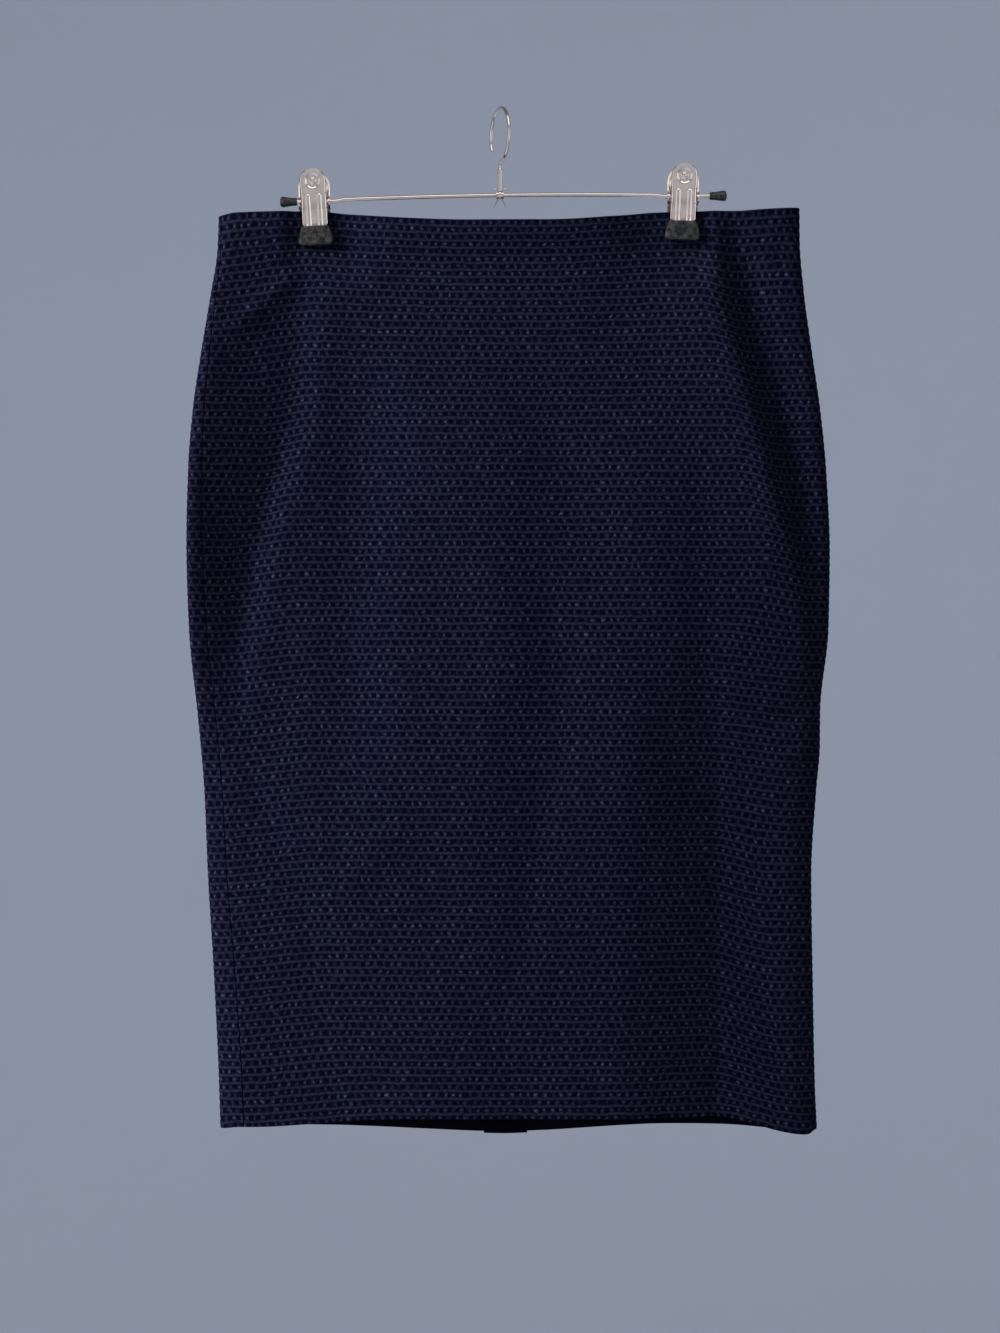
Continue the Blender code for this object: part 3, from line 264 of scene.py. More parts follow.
# How far the sides hang below the middle of the front, and between which X the front slopes down.
SIDE_SAG = (
    # down, left inner, left outer, right inner, right outer, left sag, right sag
    (0.0, -125.0, -188.0, 125.0, 160.0, 0.0, 0.0),
    (24.0, -125.0, -190.0, 126.0, 154.0, 5.0, 2.6),
    (60.0, -123.0, -192.0, 132.0, 162.0, 7.2, 6.4),
    (130.0, -124.0, -160.0, 150.0, 180.0, 5.6, 7.0),
    (190.0, -132.0, -170.0, 162.0, 194.0, 5.4, 7.0),
    (235.0, -130.0, -192.0, 176.0, 208.0, 5.2, 6.0),
    (300.0, -120.0, -190.0, 132.0, 205.0, 5.4, 5.6),
    (390.0, -116.0, -190.0, 136.0, 196.0, 5.8, 7.0),
    (430.0, -115.0, -195.0, 136.0, 182.0, 6.0, 8.4),
    (540.0, -104.0, -190.0, 134.0, 191.0, 6.3, 12.6),
    (603.0, -60.0, -175.0, 138.0, 208.0, 6.4, 13.8),
)
SIDE_SAG_COLUMNS = ("down", "left_inner", "left_outer", "right_inner", "right_outer",
                    "left_sag", "right_sag")

# The left hem corner hangs lower than the hem beside it, and the right one turns up.
HEM_CORNERS = (
    # x of the edge, reach, drop
    (-187.0, 14.0, 1.4),
    (213.0, 7.0, -3.2),
)
HEM_CORNER_START = 578.0

# Height of the waist edge: it droops between the clips and follows the tilted bar.
WAIST_EDGE = (
    # x, height
    (-188.0, -1.4),
    (-176.0, 0.6),
    (-150.0, 1.5),
    (-124.0, 2.0),
    (-104.0, 0.0),
    (-64.0, -3.1),
    (-18.0, -4.8),
    (30.0, -4.8),
    (80.0, -1.7),
    (104.0, 1.0),
    (136.0, 1.9),
    (160.0, 2.2),
    (174.0, 3.2),
    (200.0, 4.8),
)
WAIST_EDGE_COLUMNS = ("x", "height")
WAIST_EDGE_FADE = 60.0          # how far down the droop of the edge still moves the rows, by 1/e

# Large soft folds. height is out of the panel, and negative for a trough; the path is given at
# three places, and left and right are how far the fold reaches on each side of it.
FOLDS = (
    # panel, top x, top down, middle x, middle down, bottom x, bottom down, left, right, height
    ("front", -128.0, 90.0, -149.0, 215.0, -178.0, 400.0, 12.0, 22.0, 0.8),
    ("front", -98.0, 70.0, -97.0, 230.0, -106.0, 430.0, 30.0, 42.0, -2.4),
    ("front", 128.0, 10.0, 165.0, 130.0, 201.0, 262.0, 30.0, 14.0, 1.4),
    ("front", 145.0, -30.0, 187.0, 130.0, 214.0, 250.0, 15.0, 24.0, -5.6),
    ("front", 28.0, 190.0, 34.0, 310.0, 32.0, 440.0, 40.0, 26.0, -1.0),
    ("front", 32.0, 370.0, 20.0, 455.0, 3.0, 550.0, 18.0, 18.0, -1.3),
    ("front", -8.0, 90.0, -2.0, 260.0, -22.0, 430.0, 120.0, 50.0, 3.2),
    ("front", -4.0, 100.0, -2.0, 260.0, -22.0, 420.0, 44.0, 44.0, 1.2),
    ("front", 88.0, 100.0, 92.0, 290.0, 82.0, 440.0, 64.0, 50.0, 2.0),
    ("front", 134.0, 110.0, 136.0, 260.0, 142.0, 420.0, 22.0, 22.0, -1.0),
    ("back", -140.0, 40.0, -160.0, 150.0, -192.0, 300.0, 14.0, 14.0, -3.0),
    ("back", 140.0, 40.0, 164.0, 160.0, 200.0, 320.0, 14.0, 14.0, -3.2),
    ("back", -60.0, 150.0, -66.0, 320.0, -80.0, 500.0, 30.0, 30.0, -2.5),
    ("back", 74.0, 120.0, 70.0, 300.0, 84.0, 470.0, 32.0, 32.0, -2.0),
)
FOLD_COLUMNS = ("panel", "top_x", "top_down", "middle_x", "middle_down", "bottom_x", "bottom_down",
                "left", "right", "height")
FOLD_FADE = 0.3                 # how far a fold runs on past its ends, as a share of its third
FOLD_CORE = 0.6                 # share of a fold's width that holds most of its height

# Small creases that lean or lie across, given by their two ends and how far the middle sags.
CREASES = (
    # panel, start x, start down, end x, end down, sag, width, height
    ("front", -126.0, 30.0, -181.0, 71.0, 4.0, 7.0, 2.2),
    ("front", -134.0, 56.0, -186.0, 104.0, 3.0, 16.0, -1.0),
    ("front", -107.0, 96.0, -45.0, 114.0, 2.0, 7.0, 0.5),
    ("front", -98.0, 112.0, -40.0, 132.0, 2.0, 8.0, -0.4),
    ("front", 212.0, 322.0, 176.0, 334.0, 2.0, 6.0, -1.4),
    ("front", 210.0, 350.0, 184.0, 360.0, 2.0, 5.0, 1.0),
    ("front", -64.0, 402.0, -110.0, 462.0, 2.0, 10.0, 0.9),
    ("front", -74.0, 426.0, -116.0, 480.0, 2.0, 12.0, -0.4),
    ("front", -24.0, 181.0, 72.0, 197.0, 2.0, 8.0, -0.5),
    ("front", 138.0, 34.0, 196.0, 66.0, 4.0, 6.0, 0.7),
    ("front", 60.0, 84.0, 118.0, 62.0, 3.0, 8.0, -0.5),
    ("back", -128.0, 34.0, -180.0, 74.0, 3.0, 6.0, 0.8),
    ("back", 128.0, 34.0, 188.0, 80.0, 3.0, 6.0, 0.8),
    ("back", 40.0, 92.0, 108.0, 66.0, 3.0, 9.0, -0.6),
    ("back", -36.0, 96.0, -104.0, 70.0, 3.0, 9.0, -0.6),
    ("back", 120.0, 330.0, 180.0, 372.0, 4.0, 9.0, -0.9),
)
CREASE_COLUMNS = ("panel", "start_x", "start_down", "end_x", "end_down", "sag", "width", "height")

# Slow unevenness of hanging knit: each wave's length across and down, its phase and its height.
WAVES = (
    (173.0, 410.0, 0.4, 0.35),
    (-118.0, 236.0, 1.9, 0.28),
    (91.0, 530.0, 3.1, 0.22),
    (64.0, -187.0, 5.2, 0.14),
    (-47.0, 121.0, 0.9, 0.09),
)

# Across the skirt each side is domed; near the top it is a flat shelf between the clip folds.
DOME_POWER = 2.6
FOLD_SPREAD = 1.8               # a side fold reaches this much further across than it is deep
SHELF_SHARE = 0.8
SHELF_FADE_START = 150.0
SHELF_FADE_END = 360.0

# The long crease low on the right: the front falls back towards it, then swings forward past it.
RIGHT_CREASE_X = 147.0
RIGHT_CREASE_START = 80.0
RIGHT_CREASE_END = 215.0
RIGHT_CREASE_LIP = 4.0
RIGHT_CREASE_STEP = 0.12        # share of its depth that comes back straight past the crease
RIGHT_CREASE_POWER = 1.25
RIGHT_CREASE_DEPTH = (
    # down, depth
    (150.0, 0.0),
    (250.0, 1.2),
    (330.0, 3.6),
    (400.0, 8.4),
    (500.0, 11.5),
    (603.0, 12.5),
)
RIGHT_CREASE_COLUMNS = ("down", "depth")

# The turned waist edge leans forward between the clips, down to where its turning ends.
WAIST_LEAN = 5.5
WAIST_LEAN_X = 18.0
WAIST_LEAN_HALF = 70.0
WAIST_LEAN_ENDS = 0.35          # share of the lean that is left towards the clips
WAIST_TURNING = 32.0

# Where each clip holds the cloth: the middle of its pads, and how far the pinch reaches round them.
PAD_MIDDLES = (-122.7, 121.7)
PINCH_FLAT_HALF = 12.5
PINCH_FADE_INNER = 56.0
PINCH_FADE_OUTER = 24.0
PINCH_FLAT_DOWN = 22.0
PINCH_FADE_DOWN = 60.0

BACK_BELLY = (
    # x, extra drop of the back hem
    (-190.0, 0.0),
    (-105.0, 2.2),
    (-70.0, 3.4),
    (-45.0, 4.3),
    (-20.0, 5.0),
    (0.0, 5.3),
    (30.0, 3.8),
    (55.0, 1.7),
    (80.0, -0.5),
    (110.0, -2.6),
    (150.0, -3.7),
    (206.0, 0.0),
)
BACK_BELLY_COLUMNS = ("x", "drop")
BACK_LEFT_X = -190.0
BACK_RIGHT_X = 206.0
CENTRE_FRONT_X = 5.0
CENTRE_BACK_TOP_X = 3.0
CENTRE_BACK_HEM_X = -5.0

LOOP_STEPS = 520                # fine steps along each side of a section
FOLD_REACH = 9.0                # arc length taken as the side fold, each side of its crest
SEAM_REACH = 0.6                # at most this share of the way from the crest to the side seam
SIDE_CROWDING = 0.35            # how much closer the columns lie towards the sides
FRONT_STEPS = 92
SIDE_FOLD_STEPS = 12
SEAM_STEPS = 6

NAVY_YARN = "#060718"
RIB_YARN = "#202132"
POST_YARN = "#171829"
PIP_YARN = "#3D3F4C"
POST_PITCH = 5.5                # from one upright of the pattern to the next


def column(table, names, wanted):
    """One named column of a table, as an array."""
    return np.array([row[names.index(wanted)] for row in table], dtype=float)


def smooth_curve(at, known_at, known):
    """A smooth curve through a few known values (cubic Hermite with limited slopes)."""
    gaps = np.diff(known_at)
    rises = np.diff(known) / gaps
    slopes = np.zeros(len(known))
    slopes[1:-1] = np.where(rises[:-1] * rises[1:] > 0.0,
                            2.0 * rises[:-1] * rises[1:] / (rises[:-1] + rises[1:] + 1e-12), 0.0)
    slopes[0] = rises[0]
    slopes[-1] = rises[-1]
    at = np.clip(at, known_at[0], known_at[-1])
    span = np.clip(np.searchsorted(known_at, at, side="right") - 1, 0, len(gaps) - 1)
    share = (at - known_at[span]) / gaps[span]
    rest = 1.0 - share
    return (known[span] * (1.0 + 2.0 * share) * rest ** 2
            + known[span + 1] * (3.0 - 2.0 * share) * share ** 2
            + slopes[span] * gaps[span] * share * rest ** 2
            - slopes[span + 1] * gaps[span] * share ** 2 * rest)


def from_table(table, names, wanted, at):
    """A named column read smoothly at any place along the table's first column."""
    return smooth_curve(np.asarray(at, dtype=float), column(table, names, names[0]),
                        column(table, names, wanted))


def soft_step(value, start, end):
    """0 before start, 1 after end, with a soft slope between; start may be above end."""
    share = np.clip((value - start) / (end - start), 0.0, 1.0)
    return share * share * (3.0 - 2.0 * share)


def pinch(x, down):
    """1 where a clip holds the cloth flat, falling to 0 round it."""
    held = np.zeros_like(x)
    for pad_x in PAD_MIDDLES:
        aside = (x - pad_x) * math.copysign(1.0, pad_x)
        fade = np.where(aside > 0.0, PINCH_FADE_OUTER, PINCH_FADE_INNER)
        across = 1.0 - soft_step(np.abs(aside), PINCH_FLAT_HALF, fade)
        along = 1.0 - soft_step(down, PINCH_FLAT_DOWN, PINCH_FADE_DOWN)
        held = np.maximum(held, across * along)
    return held


def soft_folds(panel, x, down):
    """The long soft folds of one side, as a height out of the panel."""
    height = np.zeros_like(x)
    for fold in FOLDS:
        row = dict(zip(FOLD_COLUMNS, fold))
        if row["panel"] != panel:
            continue
        stops = np.array([row["top_down"], row["middle_down"], row["bottom_down"]])
        places = np.array([row["top_x"], row["middle_x"], row["bottom_x"]])
        crest = smooth_curve(np.asarray(down, dtype=float), stops, places)
        third = (stops[2] - stops[0]) / 3.0
        strength = (soft_step(down, stops[0] - FOLD_FADE * third, stops[0] + third)
                    * (1.0 - soft_step(down, stops[2] - third, stops[2] + FOLD_FADE * third)))
        core = FOLD_CORE * np.where(x < crest, row["left"], row["right"])
        height += row["height"] * strength * np.exp(-((x - crest) / core) ** 2)
    return height


def small_creases(panel, x, down):
    """The short creases that lean or lie across, and the slow unevenness of the knit."""
    height = np.zeros_like(x)
    for crease in CREASES:
        row = dict(zip(CREASE_COLUMNS, crease))
        if row["panel"] != panel:
            continue
        run = np.array([row["end_x"] - row["start_x"], row["end_down"] - row["start_down"]])
        long = np.hypot(*run)
        along = ((x - row["start_x"]) * run[0] + (down - row["start_down"]) * run[1]) / long ** 2
        aside = ((x - row["start_x"]) * run[1] - (down - row["start_down"]) * run[0]) / long
        bent = aside + np.sign(run[0]) * row["sag"] * 4.0 * along * (1.0 - along)
        strength = soft_step(along, -0.15, 0.3) * (1.0 - soft_step(along, 0.7, 1.15))
        height += row["height"] * strength * np.exp(-(bent / row["width"]) ** 2)
    for across, downward, phase, size in WAVES:
        shift = 0.0 if panel == "front" else 2.3
        height += size * np.sin(2.0 * math.pi * (x / across + down / downward) + phase + shift)
    return height


def bow(panel, x, down, section):
    """How far one side of the skirt stands off its middle surface."""
    left, right, fold = section["left"], section["right"], section["fold"]
    from_end = np.minimum(x - left, right - x)
    inward = 1.0 - np.clip(from_end / (FOLD_SPREAD * fold), 0.0, 1.0)
    rounding = fold * np.sqrt(np.clip(1.0 - inward ** 2, 0.0, 1.0))
    across = np.clip((2.0 * x - left - right) / (right - left), -1.0, 1.0)
    dome = 1.0 - np.abs(across) ** DOME_POWER
    folds = {name: from_table(CLIP_FOLDS, CLIP_FOLD_COLUMNS, name, down)
             for name in CLIP_FOLD_COLUMNS[1:]}
    shelf = (soft_step(x, folds["left_valley"], folds["left_ridge"])
             * (1.0 - soft_step(x, folds["right_ridge"], folds["right_valley"])))
    shelf_share = SHELF_SHARE * (1.0 - soft_step(down, SHELF_FADE_START, SHELF_FADE_END))
    body = shelf_share * shelf + (1.0 - shelf_share) * dome
    near_end = soft_step(from_end, 0.0, 3.0 * fold)
    bumps = soft_folds(panel, x, down) + small_creases(panel, x, down)
    height = rounding + (section[panel] * body + bumps) * near_end
    if panel == "front":
        depth = from_table(RIGHT_CREASE_DEPTH, RIGHT_CREASE_COLUMNS, "depth", down)
        run = RIGHT_CREASE_X - RIGHT_CREASE_START
        fall = np.clip((x - RIGHT_CREASE_START) / run, 0.0, 1.0) ** RIGHT_CREASE_POWER
        step = soft_step(x, RIGHT_CREASE_X - RIGHT_CREASE_LIP, RIGHT_CREASE_X + RIGHT_CREASE_LIP)
        back_out = soft_step(x, RIGHT_CREASE_X, RIGHT_CREASE_END)
        rise = 1.0 - RIGHT_CREASE_STEP * step - (1.0 - RIGHT_CREASE_STEP) * back_out
        height -= depth * np.where(x < RIGHT_CREASE_X, fall, rise)
        lean = WAIST_LEAN_ENDS + (1.0 - WAIST_LEAN_ENDS) * np.exp(
            -((x - WAIST_LEAN_X) / WAIST_LEAN_HALF) ** 2)
        height += WAIST_LEAN * lean * (1.0 - soft_step(down, 0.0, WAIST_TURNING)) * near_end
    held = pinch(x, down) * soft_step(from_end, 0.0, 2.0 * fold)
    return height * (1.0 - held) + PINCHED_HALF * held


def middle_surface(x, down, section):
    """Depth of the surface midway between front and back, with its two sides swung."""
    flap = {name: float(from_table(FLAPS, FLAP_COLUMNS, name, down)) for name in FLAP_COLUMNS[1:]}
    left = np.clip((flap["left_start"] - x) / (flap["left_start"] - section["left"]), 0.0, 1.0)
    right = np.clip((x - flap["right_start"]) / (section["right"] - flap["right_start"]), 0.0, 1.0)
    return -flap["left_swing"] * left ** FLAP_POWER - flap["right_swing"] * right ** FLAP_POWER


def level(panel, x, down):
    """Height of a point of the cloth that lies "down" below the waist edge."""
    sag = {name: from_table(SIDE_SAG, SIDE_SAG_COLUMNS, name, down) for name in SIDE_SAG_COLUMNS[1:]}
    left_share = soft_step(x, sag["left_inner"], sag["left_outer"])
    right_share = soft_step(x, sag["right_inner"], sag["right_outer"])
    share = down / LENGTH
    edge = from_table(WAIST_EDGE, WAIST_EDGE_COLUMNS, "height", x) * math.exp(-down / WAIST_EDGE_FADE)
    corners = np.zeros_like(x)
    for corner_x, reach, corner_drop in HEM_CORNERS:
        corners += corner_drop * (1.0 - soft_step(np.abs(x - corner_x), 0.0, reach))
    edge = edge - corners * soft_step(down, HEM_CORNER_START, LENGTH)
    if panel == "front":
        drop = sag["left_sag"] * left_share + sag["right_sag"] * right_share
    else:
        across = np.clip((x - BACK_LEFT_X) / (BACK_RIGHT_X - BACK_LEFT_X), 0.0, 1.0)
        drop = (sag["left_sag"] * (1.0 - across) + sag["right_sag"] * across
                + share * from_table(BACK_BELLY, BACK_BELLY_COLUMNS, "drop", x))
    return WAIST_LEVEL - down + edge - drop


sections_made = {}


def skirt_section(down):
    """The outer face of the skirt at one level, once round from the left side fold."""
    down = round(float(down), 4)
    if down in sections_made:
        return sections_made[down]
    section = {name: float(from_table(SECTIONS, SECTION_COLUMNS, name, down))
               for name in SECTION_COLUMNS[1:]}
    turn = np.linspace(0.0, math.pi, LOOP_STEPS + 1)
    x = section["left"] + (section["right"] - section["left"]) * (1.0 - np.cos(turn)) / 2.0
    middle = middle_surface(x, down, section)
    front_y = middle - bow("front", x, down, section)
    back_y = middle + bow("back", x, down, section)
    xs = np.concatenate((x, x[-2:0:-1]))
    ys = np.concatenate((front_y, back_y[-2:0:-1]))
    zs = np.concatenate((level("front", x, down), level("back", x, down)[-2:0:-1]))
    ahead_x, ahead_y = np.roll(xs, -2) - np.roll(xs, 2), np.roll(ys, -2) - np.roll(ys, 2)
    length = np.hypot(ahead_x, ahead_y)
    outward_x, outward_y = ahead_y / length, -ahead_x / length
    xs, ys, zs = np.append(xs, xs[0]), np.append(ys, ys[0]), np.append(zs, zs[0])
    outward_x, outward_y = np.append(outward_x, outward_x[0]), np.append(outward_y, outward_y[0])
    arc = np.concatenate(([0.0], np.cumsum(np.hypot(np.diff(xs), np.diff(ys)))))
    sections_made[down] = {"down": down, "section": section, "arc": arc, "x": xs, "y": ys, "z": zs,
                           "out_x": outward_x, "out_y": outward_y, "right_crest": arc[LOOP_STEPS]}
    return sections_made[down]


def on_cloth(loop, arc, inward):
    """Points at the given arc lengths of a section, moved in from the outer face."""
    arc = np.mod(arc, loop["arc"][-1])
    x, y, z, out_x, out_y = (np.interp(arc, loop["arc"], loop[name])
                             for name in ("x", "y", "z", "out_x", "out_y"))
    size = np.hypot(out_x, out_y)
    return np.column_stack((x - inward * out_x / size, y - inward * out_y / size, z))


def arc_at(loop, wanted_x, side):
    """Arc length of a section where its front or its back crosses one X."""
    if side == "front":
        front = loop["arc"] <= loop["right_crest"]
        return float(np.interp(wanted_x, loop["x"][front], loop["arc"][front]))
    back = loop["arc"] >= loop["right_crest"]
    return float(np.interp(-wanted_x, -loop["x"][back], loop["arc"][back]))


def crowded(count, both):
    """Shares from 0 to 1 that lie closer together at both ends, or at the start alone."""
    even = np.linspace(0.0, 1.0, count + 1)
    turns = 2.0 if both else 1.0
    return even - SIDE_CROWDING * np.sin(turns * math.pi * even) / (turns * math.pi)


def front_stations(loop):
    """Arc lengths across the front panel, from the left side seam round to the right one."""
    seam, crest = loop["section"]["seam"], loop["right_crest"]
    start, end = seam + SEAM_GAP / 2.0, crest + seam - SEAM_GAP / 2.0
    fold_start, fold_end = crest - FOLD_REACH, crest + min(FOLD_REACH, SEAM_REACH * seam)
    return np.concatenate((start + (fold_start - start) * crowded(FRONT_STEPS, True)[:-1],
                           np.linspace(fold_start, fold_end, SIDE_FOLD_STEPS + 1)[:-1],
                           np.linspace(fold_end, end, SEAM_STEPS + 1))), arc_at(loop, CENTRE_FRONT_X, "front")


def rounded_edge(places):
    """Stations with a rounded turned edge added at each end, and how far in each lies."""
    angles = np.radians(np.linspace(90.0, 0.0, EDGE_ROWS))
    shift, depth = EDGE_ROUND * (1.0 - np.sin(angles)), EDGE_ROUND * (1.0 - np.cos(angles))
    start, end = places[0], places[-1]
    inner = places[(places > start + 1.2 * EDGE_ROUND) & (places < end - 1.2 * EDGE_ROUND)]
    stations = np.concatenate((start + shift, inner, end - shift[::-1]))
    depths = np.concatenate((depth, np.zeros(len(inner)), depth[::-1]))
    return stations, depths


def panel_mesh(name, stations, first_down, last_down, face, wall, raised=True):
    """A closed shell of cloth: a finely ribbed outer face, rounded edges and a plainer inner face.

    Its UV map "weave" holds the place on the flat cloth in metres, across and down.
    """
    fine = np.arange(math.ceil(first_down / RIB_PITCH * ROWS_A_RIB + 1.0),
                     math.floor(last_down / RIB_PITCH * ROWS_A_RIB - 1.0) + 1) * RIB_PITCH / ROWS_A_RIB
    downs, depths = rounded_edge(np.concatenate(([first_down], fine, [last_down])))
    outer, across = [], []
    counts = [len(rounded_edge(stations(skirt_section(down))[0])[0]) for down in downs]
    width = min(counts)
    for down, depth in zip(downs, depths):
        loop = skirt_section(down)
        places, centre = stations(loop)
        ends = rounded_edge(places)
        between = ends[0][EDGE_ROWS:-EDGE_ROWS]
        even = np.linspace(0.0, len(between) - 1.0, width - 2 * EDGE_ROWS)
        spots = np.concatenate((ends[0][:EDGE_ROWS], np.interp(even, np.arange(len(between)), between),
                                ends[0][-EDGE_ROWS:]))
        tucks = np.maximum(np.concatenate((ends[1][:EDGE_ROWS], np.zeros(len(even)),
                                           ends[1][-EDGE_ROWS:])), depth)
        outer.append(on_cloth(loop, spots, face + tucks))
        across.append(spots - centre)
    coarse = [k for k in range(len(downs)) if k in (0, len(downs) - 1)
              or (depths[k] == 0.0 and (k - EDGE_ROWS) % ROWS_A_RIB == 0
                  and k < len(downs) - EDGE_ROWS - 2)]
    inner = []
    for k in coarse:
        loop = skirt_section(min(max(downs[k], first_down + INNER_INSET_DOWN),
                                 last_down - INNER_INSET_DOWN))
        places, _ = stations(loop)
        shares = (across[k] - across[k][0]) / (across[k][-1] - across[k][0])
        long = places[-1] - places[0] - 2.0 * INNER_INSET
        inner.append(on_cloth(loop, places[0] + INNER_INSET + long * shares, face + wall))
    rows = len(outer)
    vertices = np.concatenate(outer + inner)
    base = rows * width
    faces = []
    for i in range(rows - 1):
        for j in range(width - 1):
            k = i * width + j
            faces.append((k, k + width, k + width + 1, k + 1))
    outside = len(faces)
    for i in range(len(coarse) - 1):
        for j in range(width - 1):
            k = base + i * width + j
            faces.append((k, k + 1, k + width + 1, k + width))
    last = base + (len(coarse) - 1) * width
    for j in range(width - 1):
        faces.append((j, j + 1, base + j + 1, base + j))
        faces.append(((rows - 1) * width + j, last + j, last + j + 1, (rows - 1) * width + j + 1))
    for i, (high, low) in enumerate(zip(coarse[:-1], coarse[1:])):
        left = [k * width for k in range(high, low + 1)]
        right = [k * width + width - 1 for k in range(high, low + 1)]
        faces.append(tuple(left + [base + (i + 1) * width, base + i * width])[::-1])
        faces.append(tuple(right + [base + (i + 2) * width - 1, base + (i + 1) * width - 1]))
    thing = mesh_object(name, vertices, faces)
    mesh = thing.data

    cloth_across = np.concatenate([np.concatenate(across), np.concatenate([across[k] for k in coarse])])
    cloth_down = np.concatenate((np.repeat(downs, width), np.repeat(downs[coarse], width)))
    corners = np.zeros(len(mesh.loops), dtype=np.int32)
    mesh.loops.foreach_get("vertex_index", corners)
    weave = mesh.uv_layers.new(name="weave")
    places = np.column_stack((cloth_across, -cloth_down))[corners] * MM
    weave.data.foreach_set("uv", places.astype(np.float32).ravel())
    from_edge = np.minimum(np.arange(width), np.arange(width)[::-1])
    lift = np.outer(depths == 0.0, np.clip((from_edge - EDGE_ROWS + 1.0) / 2.0, 0.0, 1.0))
    lift = lift * (1.0 if raised else 0.0)
    lift = np.concatenate((lift.ravel(), np.zeros(len(inner) * width)))
    mesh.attributes.new("rib_lift", "FLOAT", "POINT").data.foreach_set("value", lift.astype(np.float32))
    down_attribute = mesh.attributes.new("down", "FLOAT", "POINT")
    down_attribute.data.foreach_set("value", (cloth_down * MM).astype(np.float32))
    is_outside = np.arange(len(faces)) < outside
    mesh.attributes.new("outside", "BOOLEAN", "FACE").data.foreach_set("value", is_outside)
    return thing


